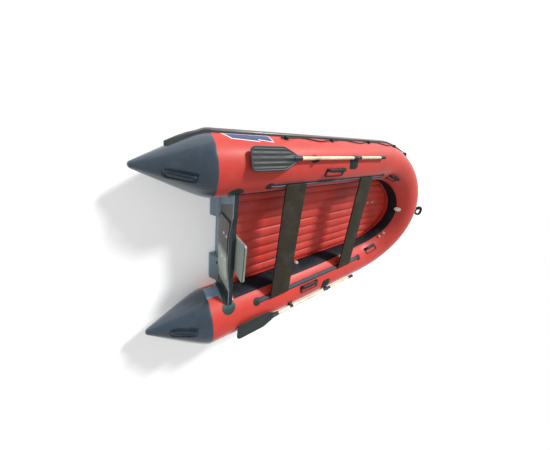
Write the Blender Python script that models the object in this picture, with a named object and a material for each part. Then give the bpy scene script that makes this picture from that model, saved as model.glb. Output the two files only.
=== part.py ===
"""Inflatable inshore rescue boat with two oars, two sliding benches and a ribbed inflatable floor.

The boat points its bow along +X with its port side at +Y, and stands on the floor at Z = 0.
Inside this file, hull coordinates count X forward from the joint between tube and stern cone,
Y from the middle of the boat and Z from the axis of the straight tubes. The parent empty
hull_frame carries them to the boat's place in the world.
"""

import math

import bmesh
import bpy
from mathutils import Vector

# Driving dimensions, in metres and degrees
TUBE_RADIUS = 0.225
TUBE_SPREAD = 0.68
STRAIGHT_LENGTH = 1.99
BOW_LENGTH = 0.73
BOW_RISE = 0.11
CONE_LENGTH = 0.45
CONE_TIP_RADIUS = 0.03
CONE_TIP_DROP = 0.06
CONE_ROUNDING = 0.15
TOW_EYE_REACH = 0.115
TOW_EYE_ANGLE = 50.0
BOW_MIDDLE = STRAIGHT_LENGTH + math.pi / 2 * (BOW_LENGTH + TUBE_SPREAD) / 2

SEAT_GAP = 0.0003
PAD_LIFT = 0.0005
BOW_PAD_LIFT = 0.0011
CONE_PAD_LIFT = 0.002
TUBE_SIDES = 48
BOW_STEPS = 32
PORT = 1
STARBOARD = -1
SIDE_NAMES = {PORT: "port", STARBOARD: "starboard"}

STRAKE_HALF_HEIGHT = 0.034
STRAKE_REACH = 0.026
STRAKE_TAIL = 0.25
STRAKE_TAIL_REACH = 0.15

GUARD_THICKNESS = 0.0035
GUARD_HALF_WIDTH = 0.035

TRANSOM_AFT_X = 0.147
TRANSOM_THICKNESS = 0.035
TRANSOM_BOTTOM_Z = -0.215
TRANSOM_WING_TOP_Z = 0.15
TRANSOM_MIDDLE_TOP_Z = 0.10
TRANSOM_MIDDLE_HALF_WIDTH = 0.13
TRANSOM_SLOPE_END_Y = 0.32
HOLDER_THICKNESS = 0.006
HOLDER_START_X = 0.001
HOLDER_END_X = 0.215

MOTOR_PLATE_HALF_WIDTH = 0.27
MOTOR_PLATE_THICKNESS = 0.012
INNER_PLATE_THICKNESS = 0.02
INNER_PLATE_TOP_Z = 0.30

BAND_THICKNESS = 0.0012
BAND_LIFT = 0.0008
BAND_TOP_ANGLE = -58.0
BAND_BOW_TOP_ANGLE = -67.5
BAND_LOW_ANGLE = -97.5

FLOOR_TOP_Z = -0.045
FLOOR_RIB_WIDTH = 0.1
FLOOR_RIB_RISE = 0.018
FLOOR_RIBS = 11
FLOOR_BOTTOM_Z = -0.205
FLOOR_BOTTOM_SLOPE = 0.09
FLOOR_BOTTOM_RISE = 0.012
FLOOR_CLEARANCE = 0.0027

RAIL_ANGLE = -34.0
RAIL_START = 0.375
RAIL_END = 1.94
RAIL_BEAD_RADIUS = 0.007
RAIL_BEAD_LIFT = 0.009
RAIL_BASE_THICKNESS = 0.004
RAIL_HALF_WIDTH = 0.019
RAIL_PATCH_RADIUS = 0.037

BENCH_WIDTH = 0.207
BENCH_THICKNESS = 0.015
BENCH_HALF_LENGTH = 0.562
BENCH_AFT_X = 0.542
BENCH_FORE_X = 1.482
CLEAT_DEPTH = 0.01

OAR_ANGLES = {PORT: 22.0, STARBOARD: 15.0}
BLADE_ANGLES = {PORT: 22.0, STARBOARD: 0.0}
OAR_LIFT = 0.032
OAR_SHAFT_RADIUS = 0.0145
OAR_TIP_X = 0.205
OAR_SHOULDER_X = 0.47
OAR_NECK_X = 0.60
OAR_GRIP_X = 1.69
OAR_END_X = 1.775
OAR_PIN_X = 1.30
OAR_CLIP_X = 0.79
BLADE_HALF_WIDTH = 0.086
BLADE_THICKNESS = 0.007
BLADE_CORNER = 0.045
ROWLOCK_PIN_RADIUS = 0.004
ROWLOCK_PAD_THICKNESS = 0.006
ROWLOCK_SEAT = -OAR_SHAFT_RADIUS - 0.001
ROWLOCK_PAD_INBOARD = 26.0
ROWLOCK_PAD_OUTBOARD = 7.0

HANDLE_HALF_LENGTH = 0.12
HANDLE_HALF_WIDTH = 0.04
HANDLE_BAR_INSET = 0.009
HANDLE_BASE_THICKNESS = 0.004
HANDLE_BAR_RADIUS = 0.008
HANDLE_BAR_LIFT = 0.036
MIDDLE_HANDLES = {PORT: (1.056, -10.0), STARBOARD: (1.034, -14.0)}
BOW_HANDLE = (2.222, -40.5)
STERN_HANDLE = (-0.195, -13.0)

LINE_RADIUS = 0.005
LINE_HELD_LIFT = 0.0095
LINE_FREE_LIFT = LINE_RADIUS + 0.0008
LINE_WAVE = 11.0
LINE_START = (0.54, 71.0)
LINE_END = (2.47, 75.0)
EYELETS = ((0.58, 71.0), (1.10, 72.0), (1.68, 74.0), (2.13, 67.0), (2.33, 62.0))
EYELET_BASE_THICKNESS = 0.004
EYELET_BASE_RADIUS = 0.026
EYELET_ARCH_RADIUS = 0.0125
EYELET_BAR_RADIUS = 0.005

BOW_VALVE_RADIUS = 0.042
BOW_VALVE_PLACE = (3.028, -63.5)
TUBE_VALVES_PLACE = (2.564, -60.0)
SIDE_VALVE_PLACE = (0.99, -88.0)
FLOOR_VALVES_X = 2.185
VALVE_PATCH_HALF_WIDTH = 0.024
VALVE_PATCH_THICKNESS = 0.003

GUARD_LOW_Z = -TUBE_RADIUS - GUARD_THICKNESS - SEAT_GAP

# Colours as linear RGB, then roughness and metallic value
FINISHES = {
    "tube_red": ((0.66, 0.045, 0.030), 0.42, 0.0),
    "cone_slate": ((0.045, 0.075, 0.105), 0.45, 0.0),
    "trim_black": ((0.018, 0.022, 0.026), 0.55, 0.0),
    "band_blue": ((0.022, 0.030, 0.048), 0.55, 0.0),
    "floor_red": ((0.50, 0.030, 0.022), 0.50, 0.0),
    "bench_brown": ((0.050, 0.036, 0.024), 0.50, 0.0),
    "transom_grey": ((0.085, 0.125, 0.155), 0.45, 0.0),
    "plate_grey": ((0.19, 0.22, 0.20), 0.35, 0.0),
    "shaft_cream": ((0.72, 0.66, 0.52), 0.35, 0.0),
    "blade_black": ((0.020, 0.026, 0.026), 0.45, 0.0),
    "line_black": ((0.02, 0.02, 0.022), 0.85, 0.0),
    "valve_white": ((0.75, 0.74, 0.70), 0.40, 0.0),
    "valve_grey": ((0.38, 0.37, 0.33), 0.35, 0.0),
    "guard_grey": ((0.09, 0.10, 0.11), 0.70, 0.0),
}


class Station:
    """A place along a tube: its centre, its directions and the tube's radius there."""

    def __init__(self, centre, ahead, outward, radius):
        self.centre = centre
        self.ahead = ahead.normalized()
        self.outward = outward.normalized()
        self.up = self.ahead.cross(self.outward)
        if self.up.z < 0.0:
            self.up = -self.up
        self.radius = radius

    def at(self, out, up):
        """The point this far outward and upward from the tube's axis."""
        return self.centre + self.outward * out + self.up * up

    def skin(self, angle, lift=0.0):
        """The point on the skin, at an angle outboard of the tube's top, raised by lift."""
        turn = math.radians(angle)
        reach = self.radius + lift
        return self.at(reach * math.sin(turn), reach * math.cos(turn))


def cone_share(distance):
    """How much of the cone's taper is done this far aft of its joint, from 0 to 1."""
    along = distance / (CONE_LENGTH - CONE_TIP_RADIUS)
    full = math.hypot(1.0, CONE_ROUNDING) - CONE_ROUNDING
    return (math.hypot(along, CONE_ROUNDING) - CONE_ROUNDING) / full


def cone_radius(distance):
    """Radius of a stern cone this far aft of its joint."""
    return TUBE_RADIUS - (TUBE_RADIUS - CONE_TIP_RADIUS) * cone_share(distance)


def bow_turn(along):
    """Angle of the bow curve at a distance along the tube, in radians: 0 where it starts."""
    return (along - STRAIGHT_LENGTH) / ((BOW_LENGTH + TUBE_SPREAD) / 2)


def station(along, side):
    """The station this far along a tube from its cone joint; past the bow's middle it goes on."""
    if along < 0.0:
        drop = -CONE_TIP_DROP * -along / CONE_LENGTH
        centre = Vector((along, side * TUBE_SPREAD, drop))
        return Station(centre, Vector((1, 0, 0)), Vector((0, side, 0)), cone_radius(-along))
    if along <= STRAIGHT_LENGTH:
        centre = Vector((along, side * TUBE_SPREAD, 0.0))
        return Station(centre, Vector((1, 0, 0)), Vector((0, side, 0)), TUBE_RADIUS)
    turn = bow_turn(along)
    sine, cosine = math.sin(turn), math.cos(turn)
    centre = Vector(
        (STRAIGHT_LENGTH + BOW_LENGTH * sine, side * TUBE_SPREAD * cosine, BOW_RISE * sine * sine)
    )
    ahead = Vector((BOW_LENGTH * cosine, -side * TUBE_SPREAD * sine, 2 * BOW_RISE * sine * cosine))
    outward = Vector((0, 0, 1)).cross(ahead) * side
    return Station(centre, ahead, outward, TUBE_RADIUS)


def spread(start, end, steps):
    """Evenly spaced values from start to end, both included."""
    return [start + (end - start) * index / steps for index in range(steps + 1)]


def material(finish):
    """The named finish as a material, made once."""
    found = bpy.data.materials.get(finish)
    if found:
        return found
    colour, roughness, metallic = FINISHES[finish]
    made = bpy.data.materials.new(finish)
    made.use_nodes = True
    shader = made.node_tree.nodes["Principled BSDF"]
    shader.inputs["Base Color"].default_value = (*colour, 1.0)
    shader.inputs["Roughness"].default_value = roughness
    shader.inputs["Metallic"].default_value = metallic
    made.diffuse_color = (*colour, 1.0)
    return made


def add_object(name, bm, finish, origin=None, smooth=True):
    """Put a bmesh in the scene as one object, its origin at a given point of the hull."""
    bmesh.ops.recalc_face_normals(bm, faces=bm.faces)
    place = origin.copy() if origin else Vector((0, 0, 0))
    bmesh.ops.translate(bm, verts=bm.verts, vec=-place)
    mesh = bpy.data.meshes.new(name)
    bm.to_mesh(mesh)
    bm.free()
    if smooth:
        mesh.shade_smooth()
        mesh.set_sharp_from_angle(angle=math.radians(35))
    mesh.materials.append(material(finish))
    made = bpy.data.objects.new(name, mesh)
    bpy.context.collection.objects.link(made)
    made.parent = bpy.data.objects["hull_frame"]
    made.location = place
    return made


def add_sweep(bm, rings):
    """Add the closed body through a row of rings, each a closed loop of as many points."""
    rows = [[bm.verts.new(point) for point in ring] for ring in rings]
    count = len(rows[0])
    for before, after in zip(rows, rows[1:]):
        for index in range(count):
            following = (index + 1) % count
            bm.faces.new((before[index], before[following], after[following], after[index]))
    bm.faces.new(rows[0])
    bm.faces.new(rows[-1])


def sweep(name, rings, finish, origin=None):
    """One object through a row of rings."""
    bm = bmesh.new()
    add_sweep(bm, rings)
    return add_object(name, bm, finish, origin)


def prism(name, outline, low, high, axis, finish, origin=None):
    """One object from an outline of two coordinates, extruded along the remaining axis."""
    def place(pair, level):
        coordinates = list(pair)
        coordinates.insert("xyz".index(axis), level)
        return Vector(coordinates)

    rings = [[place(pair, level) for pair in outline] for level in (low, high)]
    return sweep(name, rings, finish, origin)


def boolean(target, cutter, operation):
    """Cut with or join another object by an exact Boolean, then drop that object."""
    bpy.context.view_layer.update()
    modifier = target.modifiers.new(operation.lower(), "BOOLEAN")
    modifier.operation = operation
    modifier.object = cutter
    modifier.solver = "EXACT"
    bpy.context.view_layer.update()
    graph = bpy.context.evaluated_depsgraph_get()
    result = bpy.data.meshes.new_from_object(target.evaluated_get(graph), depsgraph=graph)
    target.modifiers.clear()
    target.data = result
    bpy.data.objects.remove(cutter)


def pad_ring(place, low, high, steps, lift, thickness):
    """Ring of a strip that lies on a tube between two angles at one station."""
    under = [place.skin(angle, lift) for angle in spread(low, high, steps)]
    over = [place.skin(angle, lift + thickness) for angle in spread(high, low, steps)]
    return under + over


def around(distance, radius=TUBE_RADIUS):
    """Degrees round a tube for a distance over its skin."""
    return math.degrees(distance / radius)


# Buoyancy tubes and stern cones

def tube_ring(place):
    """Circle of the tube's skin at one station."""
    return [place.skin(360.0 * index / TUBE_SIDES) for index in range(TUBE_SIDES)]


def build_tubes():
    """The two straight chambers and the curved bow chamber between them."""
    for side, name in SIDE_NAMES.items():
        ends = spread(0.0, STRAIGHT_LENGTH - SEAT_GAP / 2, 3)
        sweep("tube_" + name, [tube_ring(station(along, side)) for along in ends], "tube_red")
    start = STRAIGHT_LENGTH + SEAT_GAP / 2
    rings = [
        tube_ring(station(along, PORT))
        for along in spread(start, 2 * BOW_MIDDLE - start, BOW_STEPS)
    ]
    sweep("tube_bow", rings, "tube_red")


def build_cones():
    """The tapered stern ends, each with a small round tip."""
    for side, name in SIDE_NAMES.items():
        places = [station(-along, side) for along in (SEAT_GAP, 0.03, 0.07, 0.12)]
        places += [station(-along, side) for along in spread(0.18, CONE_LENGTH - CONE_TIP_RADIUS, 2)]
        rings = [tube_ring(place) for place in places]
        tip = places[-1]
        for angle in (30.0, 60.0, 85.0):
            turn = math.radians(angle)
            back = Vector((-CONE_TIP_RADIUS * math.sin(turn), 0, 0))
            reach = CONE_TIP_RADIUS * math.cos(turn)
            rings.append(
                [
                    tip.at(reach * math.sin(step), reach * math.cos(step)) + back
                    for step in (2 * math.pi * index / TUBE_SIDES for index in range(TUBE_SIDES))
                ]
            )
        sweep("cone_" + name, rings, "cone_slate")


# Rub strake round the outer side

def strake_ring(place, edge, half_height):
    """Ring of the strake: it sits on the skin and is rounded at its outer edge."""
    heights = spread(half_height, -half_height, 4)
    seat = [
        place.at(math.sqrt(place.radius**2 - height**2) + SEAT_GAP * 1.5, height)
        for height in heights
    ]
    rounding = STRAKE_REACH * 0.5
    nose = []
    for angle in (-80, -50, -20, 20, 50, 80):
        turn = math.radians(angle)
        out = edge - rounding + rounding * math.cos(turn)
        nose.append(place.at(out, half_height * 0.97 * math.sin(turn)))
    return seat + nose


def build_strakes():
    """A strake along each side, ending in a straight cut on the cone, and one round the bow."""
    full_edge = TUBE_RADIUS + STRAKE_REACH
    tail = ((STRAKE_TAIL, STRAKE_TAIL_REACH, 0.012), (0.18, 0.187, 0.017), (0.12, 0.213, 0.021),
            (0.07, 0.228, 0.028), (0.03, 0.246, 0.033))
    for side, name in SIDE_NAMES.items():
        rings = [
            strake_ring(station(-back, side), edge, half_height)
            for back, edge, half_height in tail
        ]
        for along in spread(0.0, STRAIGHT_LENGTH - SEAT_GAP, 4):
            rings.append(strake_ring(station(along, side), full_edge, STRAKE_HALF_HEIGHT))
        sweep("rub_strake_" + name, rings, "trim_black")
    start = STRAIGHT_LENGTH + SEAT_GAP
    rings = [
        strake_ring(station(along, PORT), full_edge, STRAKE_HALF_HEIGHT)
        for along in spread(start, 2 * BOW_MIDDLE - start, BOW_STEPS)
    ]
    sweep("rub_strake_bow", rings, "trim_black")


def build_guards():
    """A wear strip under each tube, flat below, which the boat stands on."""
    half_angle = around(GUARD_HALF_WIDTH)
    for side, name in SIDE_NAMES.items():
        rings = []
        for along in spread(0.03, STRAIGHT_LENGTH - 0.06, 3):
            place = station(along, side)
            angles = spread(180.0 - half_angle, 180.0 + half_angle, 6)
            ring = [place.skin(angle, SEAT_GAP) for angle in angles]
            y_low, y_high = ring[0].y, ring[-1].y
            ring.append(Vector((along, y_high, GUARD_LOW_Z)))
            ring.append(Vector((along, y_low, GUARD_LOW_Z)))
            rings.append(ring)
        sweep("tube_guard_" + name, rings, "guard_grey")


# Transom

def tube_flank(height, lift):
    """Distance from the boat's middle to the inner flank of a tube at a height."""
    return TUBE_SPREAD - math.sqrt((TUBE_RADIUS + lift) ** 2 - height**2)


def mirrored(points):
    """An outline of the port half, given from its top to its bottom, with its starboard half."""
    return points + [(-y, z) for y, z in reversed(points)]


def build_transom():
    """The transom board, its outer and inner motor plates and its two stern gussets."""
    lift = HOLDER_THICKNESS + PAD_LIFT + 2 * SEAT_GAP
    flank = [(tube_flank(z, lift), z) for z in spread(TRANSOM_WING_TOP_Z, -0.15, 12)]
    half = [
        (TRANSOM_MIDDLE_HALF_WIDTH, TRANSOM_MIDDLE_TOP_Z),
        (TRANSOM_SLOPE_END_Y, TRANSOM_WING_TOP_Z),
        *flank,
        (flank[-1][0], TRANSOM_BOTTOM_Z),
    ]
    inner_x = TRANSOM_AFT_X + TRANSOM_THICKNESS
    prism("transom_board", mirrored(half), TRANSOM_AFT_X, inner_x, "x", "transom_grey")

    plate = [
        (0.12, 0.094), (0.235, 0.122), (0.25, 0.122), (MOTOR_PLATE_HALF_WIDTH, 0.10),
        (MOTOR_PLATE_HALF_WIDTH, -0.075), (0.25, -0.095),
    ]
    outer_x = TRANSOM_AFT_X - SEAT_GAP
    prism("motor_plate_outer", mirrored(plate), outer_x - MOTOR_PLATE_THICKNESS, outer_x, "x",
          "plate_grey")

    inner = [
        (0.148, INNER_PLATE_TOP_Z), (0.163, INNER_PLATE_TOP_Z - 0.015), (0.14, 0.0), (0.125, -0.018),
    ]
    plate_x = inner_x + SEAT_GAP
    prism("motor_plate_inner", mirrored(inner), plate_x, plate_x + INNER_PLATE_THICKNESS, "x",
          "plate_grey")

    side_view = [(outer_x, -0.10), (outer_x, TRANSOM_BOTTOM_Z), (outer_x - 0.055, TRANSOM_BOTTOM_Z),
                 (outer_x - 0.055, TRANSOM_BOTTOM_Z + 0.03)]
    for side, name in SIDE_NAMES.items():
        low, high = sorted((side * 0.20, side * 0.455))
        prism("stern_gusset_" + name, side_view, low, high, "y", "cone_slate")


def build_transom_holders():
    """The moulded rubber profiles that hold the transom's ends to the tubes."""
    inner_x = TRANSOM_AFT_X + TRANSOM_THICKNESS
    strip_top, strip_low, above_floor = 0.052, -0.07, -0.016
    outline = [
        (HOLDER_START_X, strip_top), (0.095, strip_top), (0.110, 0.10), (0.128, 0.137),
        (0.155, 0.150), (0.180, 0.145), (0.200, 0.125), (HOLDER_END_X, 0.09),
        (HOLDER_END_X, above_floor), (inner_x, above_floor), (inner_x, -0.148),
        (0.135, -0.148), (0.115, -0.12), (0.10, strip_low), (HOLDER_START_X, strip_low),
    ]
    for side, name in SIDE_NAMES.items():
        rings = []
        for along in (HOLDER_START_X - 0.01, HOLDER_END_X + 0.01):
            place = station(HOLDER_START_X, side)
            place.centre.x = along
            rings.append(pad_ring(place, -44.0, -134.0, 16, PAD_LIFT, HOLDER_THICKNESS))
        holder = sweep("transom_holder_" + name, rings, "transom_grey")
        low, high = sorted((side * 0.40, side * 0.60))
        boolean(holder, prism("holder_outline", outline, low, high, "y", "transom_grey"),
                "INTERSECT")


# Inflatable floor and the dark bands above it

def floor_section(shift_x):
    """Outline of the ribbed floor at one place along it, across the boat."""
    past = max(0.0, shift_x - STRAIGHT_LENGTH) / BOW_LENGTH
    rise = BOW_RISE * past * past
    half = FLOOR_RIBS * FLOOR_RIB_WIDTH / 2
    top = []
    for y in spread(-half, half, FLOOR_RIBS * 5):
        bulge = abs(math.cos(math.pi * y / FLOOR_RIB_WIDTH))
        top.append(Vector((shift_x, y, FLOOR_TOP_Z + FLOOR_RIB_RISE * bulge**0.6 + rise)))
    bottom = []
    for y in spread(half, -half, FLOOR_RIBS * 4):
        bulge = abs(math.cos(math.pi * y / FLOOR_RIB_WIDTH))
        level = FLOOR_BOTTOM_Z + FLOOR_BOTTOM_SLOPE * abs(y) - FLOOR_BOTTOM_RISE * bulge**0.6
        bottom.append(Vector((shift_x, y, level + rise)))
    return top + bottom


def build_floor():
    """The ribbed inflatable floor, trimmed to the inner flanks of the tubes."""
    start = TRANSOM_AFT_X + TRANSOM_THICKNESS + SEAT_GAP * 2
    places = [start, 1.1, STRAIGHT_LENGTH] + spread(STRAIGHT_LENGTH + 0.08, 2.56, 6)
    floor = sweep("inflatable_floor", [floor_section(x) for x in places], "floor_red")
    wide = TUBE_RADIUS + FLOOR_CLEARANCE
    rings = []
    alongs = [-0.1] + spread(STRAIGHT_LENGTH, 2 * BOW_MIDDLE - STRAIGHT_LENGTH, BOW_STEPS)
    alongs.append(2 * BOW_MIDDLE + 0.1)
    for along in alongs:
        if along < 0.0:
            place = station(STRAIGHT_LENGTH, PORT)
            place.centre = Vector((along, TUBE_SPREAD, 0.0))
        elif along > 2 * BOW_MIDDLE:
            place = station(STRAIGHT_LENGTH, STARBOARD)
            place.centre = Vector((-0.1, -TUBE_SPREAD, 0.0))
            place.outward = Vector((0, -1, 0))
        else:
            place = station(along, PORT)
        turns = [2 * math.pi * index / 48 for index in range(48)]
        rings.append([place.at(wide * math.sin(turn), wide * math.cos(turn)) for turn in turns])
    cutter = sweep("floor_cutter", rings, "floor_red")
    boolean(floor, cutter, "DIFFERENCE")


def band_top(along):
    """Upper edge of a side band, in degrees: it comes down towards the bow."""
    past = max(0.0, along - 1.0) / (STRAIGHT_LENGTH - 1.0)
    return BAND_TOP_ANGLE + (BAND_BOW_TOP_ANGLE - BAND_TOP_ANGLE) * past * past


def build_bands():
    """The dark fabric bands on the inner flank of the tubes, just above the floor."""
    def ring(place, top, steps):
        return pad_ring(place, top, BAND_LOW_ANGLE, steps, BAND_LIFT, BAND_THICKNESS)

    for side, name in SIDE_NAMES.items():
        places = spread(HOLDER_END_X + 0.001, STRAIGHT_LENGTH - SEAT_GAP, 6)
        rings = [ring(station(along, side), band_top(along), 7) for along in places]
        sweep("inner_band_" + name, rings, "band_blue")
    start = STRAIGHT_LENGTH + SEAT_GAP
    rings = [
        ring(station(along, PORT), BAND_BOW_TOP_ANGLE, 4)
        for along in spread(start, 2 * BOW_MIDDLE - start, BOW_STEPS)
    ]
    sweep("inner_band_bow", rings, "band_blue")


# Benches and their rails

def rail_ring(place, half_width, bead):
    """Ring of a bench rail: a glued strip with a round bead along its middle."""
    def spot(distance, lift):
        return place.skin(RAIL_ANGLE + around(distance), lift)

    under = [spot(distance, SEAT_GAP) for distance in spread(-half_width, half_width, 4)]
    over = [spot(half_width, RAIL_BASE_THICKNESS), spot(half_width / 2, RAIL_BASE_THICKNESS)]
    for angle in (-10, 30, 60, 90, 120, 150, 190):
        turn = math.radians(angle)
        lift = RAIL_BASE_THICKNESS + bead * (
            RAIL_BEAD_LIFT - RAIL_BASE_THICKNESS + RAIL_BEAD_RADIUS * math.sin(turn)
        )
        over.append(spot(RAIL_BEAD_RADIUS * math.cos(turn), lift))
    over += [spot(-half_width / 2, RAIL_BASE_THICKNESS), spot(-half_width, RAIL_BASE_THICKNESS)]
    return under + over


def build_rails():
    """A rail along the upper inner flank of each tube, with a round patch at each end."""
    for side, name in SIDE_NAMES.items():
        rings = []
        reach = RAIL_PATCH_RADIUS
        for share in (-0.97, -0.8, -0.5, 0.0, 0.5, 0.8, 0.93):
            half_width = max(RAIL_HALF_WIDTH, reach * math.sqrt(1 - share * share))
            along = RAIL_START + reach * (1 + share)
            bead = min(1.0, max(0.05, (share + 0.8) / 1.3))
            rings.append(rail_ring(station(along, side), half_width, bead))
        for share in (-0.93, -0.8, -0.5, 0.0, 0.5, 0.8, 0.97):
            half_width = max(RAIL_HALF_WIDTH, reach * math.sqrt(1 - share * share))
            along = RAIL_END - reach * (1 - share)
            bead = min(1.0, max(0.05, (0.8 - share) / 1.3))
            rings.append(rail_ring(station(along, side), half_width, bead))
        sweep("bench_rail_" + name, rings, "trim_black")


def bench_level():
    """Height of a bench's underside, just above the rails' beads."""
    place = station(1.0, PORT)
    bead = place.skin(RAIL_ANGLE, RAIL_BEAD_LIFT)
    return bead.z + RAIL_BEAD_RADIUS + SEAT_GAP


def build_benches():
    """The two benches: boards with a cleat at each end that keeps them on the beads."""
    under = bench_level()
    bead_y = station(1.0, PORT).skin(RAIL_ANGLE, RAIL_BEAD_LIFT).y
    cleat_y = bead_y - RAIL_BEAD_RADIUS - 0.0015
    half = [
        (BENCH_HALF_LENGTH, under + BENCH_THICKNESS), (BENCH_HALF_LENGTH, under),
        (cleat_y, under), (cleat_y, under - CLEAT_DEPTH),
        (cleat_y - 0.012, under - CLEAT_DEPTH), (cleat_y - 0.012, under),
    ]
    for name, start in (("bench_aft", BENCH_AFT_X), ("bench_fore", BENCH_FORE_X)):
        origin = Vector((start + BENCH_WIDTH / 2, 0, under))
        prism(name, mirrored(half), start, start + BENCH_WIDTH, "x", "bench_brown", origin)


# Oars, their rowlocks and their clips

def slanted(side, angle):
    """Directions outboard and away from the skin, at an angle on the tube."""
    turn = math.radians(angle)
    outboard = Vector((0, side * math.cos(turn), -math.sin(turn)))
    away = Vector((0, side * math.sin(turn), math.cos(turn)))
    return outboard, away


def oar_point(side, x, across=0.0, away=0.0, angle=None):
    """A point beside the oar's line, in the oar's directions or in those of another angle."""
    line = station(x, side).skin(OAR_ANGLES[side], OAR_LIFT)
    outboard, up = slanted(side, OAR_ANGLES[side] if angle is None else angle)
    return line + outboard * across + up * away


def round_bar(side, start, end, radius, sides):
    """Rings of a round bar along the oar's line, with slightly rounded ends."""
    rings = []
    rim = min(0.004, radius * 0.3)
    for x, size in ((start, radius - rim), (start + rim, radius), (end - rim, radius),
                    (end, radius - rim)):
        turns = [2 * math.pi * index / sides for index in range(sides)]
        rings.append(
            [oar_point(side, x, size * math.cos(turn), size * math.sin(turn)) for turn in turns]
        )
    return rings


def blade_half_width(x):
    """Half the blade's width at a place along it: round corners, then tapered shoulders."""
    into = x - OAR_TIP_X
    if into < BLADE_CORNER:
        missing = BLADE_CORNER - math.sqrt(BLADE_CORNER**2 - (BLADE_CORNER - into) ** 2)
        return BLADE_HALF_WIDTH - missing
    if x <= OAR_SHOULDER_X:
        return BLADE_HALF_WIDTH
    share = (x - OAR_SHOULDER_X) / (OAR_NECK_X - OAR_SHOULDER_X)
    narrowing = share**1.25
    return BLADE_HALF_WIDTH + (OAR_SHAFT_RADIUS + 0.004 - BLADE_HALF_WIDTH) * narrowing


def blade_ring(side, x):
    """Ring of the blade: thin at its edges, with a spine that grows into the neck."""
    half_width = blade_half_width(x)
    past = max(0.0, (x - OAR_SHOULDER_X) / (OAR_NECK_X - OAR_SHOULDER_X))
    spine = BLADE_THICKNESS * 0.8 + (OAR_SHAFT_RADIUS + 0.003 - BLADE_THICKNESS * 0.8) * past
    shares = (-1.0, -0.55, -0.2, 0.0, 0.2, 0.55, 1.0)
    upper, lower = [], []
    for share in shares:
        middle = math.exp(-((share * half_width / 0.018) ** 2))
        half_thick = BLADE_THICKNESS / 2 + (spine - BLADE_THICKNESS / 2) * middle
        across = share * half_width
        upper.append(oar_point(side, x, across, half_thick, BLADE_ANGLES[side]))
        lower.append(oar_point(side, x, across, -half_thick, BLADE_ANGLES[side]))
    return upper + lower[::-1]


def build_oars():
    """Each oar as a shaft, a blade and a grip, pinned to a rowlock and lying in a clip."""
    for side, name in SIDE_NAMES.items():
        pin = oar_point(side, OAR_PIN_X)
        shaft = sweep(
            "oar_shaft_" + name,
            round_bar(side, OAR_NECK_X + SEAT_GAP, OAR_GRIP_X, OAR_SHAFT_RADIUS, 20),
            "shaft_cream", pin,
        )
        bore = pin_body("oar_bore", side, ROWLOCK_PIN_RADIUS + 0.0012, -0.03, 0.03)
        boolean(shaft, bore, "DIFFERENCE")
        places = [OAR_TIP_X + step for step in (0.0008, 0.007, 0.020, BLADE_CORNER)]
        places += [OAR_SHOULDER_X] + spread(0.495, OAR_NECK_X, 4)
        sweep("oar_blade_" + name, [blade_ring(side, x) for x in places], "blade_black", pin)
        grip = round_bar(side, OAR_GRIP_X + SEAT_GAP, OAR_END_X, OAR_SHAFT_RADIUS + 0.0025, 20)
        sweep("oar_grip_" + name, grip, "trim_black", pin)
        build_rowlock(side, name)
        build_clip(side, name)


def pin_body(name, side, radius, low, high):
    """A round pin through the oar's line, along the direction away from the skin."""
    turns = [2 * math.pi * index / 16 for index in range(16)]
    rings = []
    for level in (low, high):
        rings.append(
            [
                oar_point(side, OAR_PIN_X + radius * math.cos(turn), radius * math.sin(turn), level)
                for turn in turns
            ]
        )
    return sweep(name, rings, "trim_black", oar_point(side, OAR_PIN_X))


def build_rowlock(side, name):
    """A glued pad inboard of the oar with a boss under the oar and a pin with a head."""
    pad_low = OAR_ANGLES[side] - ROWLOCK_PAD_INBOARD
    pad_high = OAR_ANGLES[side] + ROWLOCK_PAD_OUTBOARD
    rings = []
    for along, trim in ((-0.062, 6.0), (-0.058, 2.0), (-0.045, 0.0), (0.045, 0.0),
                        (0.058, 2.0), (0.062, 6.0)):
        place = station(OAR_PIN_X + along, side)
        rings.append(
            pad_ring(place, pad_low + trim, pad_high - trim, 6, PAD_LIFT, ROWLOCK_PAD_THICKNESS)
        )
    rowlock = sweep("rowlock_" + name, rings, "trim_black")
    boss = pin_body("rowlock_boss", side, 0.02, -OAR_LIFT + 0.003, ROWLOCK_SEAT)
    boolean(rowlock, boss, "UNION")
    pin = pin_body("rowlock_pin", side, ROWLOCK_PIN_RADIUS, ROWLOCK_SEAT - 0.004, 0.019)
    boolean(rowlock, pin, "UNION")
    head = pin_body("rowlock_head", side, 0.011, OAR_SHAFT_RADIUS + 0.001, 0.021)
    boolean(rowlock, head, "UNION")


def build_clip(side, name):
    """A glued pad with a cradle for the shaft: a horn inboard of it and a low lip outboard."""
    turn = around(0.032)
    rings = []
    for along, trim in ((-0.026, 2.0), (-0.02, 0.0), (0.02, 0.0), (0.026, 2.0)):
        place = station(OAR_CLIP_X + along, side)
        low, high = OAR_ANGLES[side] - turn + trim, OAR_ANGLES[side] + turn - trim
        rings.append(pad_ring(place, low, high, 4, PAD_LIFT, 0.004))
    clip = sweep("oar_clip_" + name, rings, "trim_black")
    shaft = OAR_SHAFT_RADIUS
    cradle = [
        (0.012, -OAR_LIFT + 0.002), (0.012, -shaft - 0.007), (0.0, -shaft - 0.0054),
        (-0.006, -shaft - 0.0045), (-0.0205, -0.010), (-0.0205, 0.002), (-0.0175, 0.012),
        (-0.021, 0.018), (-0.028, 0.012), (-0.029, -0.008), (-0.024, -OAR_LIFT + 0.001),
    ]
    rings = []
    for x in (OAR_CLIP_X - 0.013, OAR_CLIP_X + 0.013):
        rings.append([oar_point(side, x, across, away) for across, away in cradle])
    boolean(clip, sweep("clip_cradle", rings, "trim_black"), "UNION")


# Carrying handles, grab lines and the towing eye

def surface(along, side, angle):
    """A function from distances along and around the skin, and a lift, to a point."""
    def spot(ahead, over, lift):
        place = station(along + ahead, side)
        return place.skin(angle + math.degrees(over / place.radius), lift)

    return spot


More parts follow.
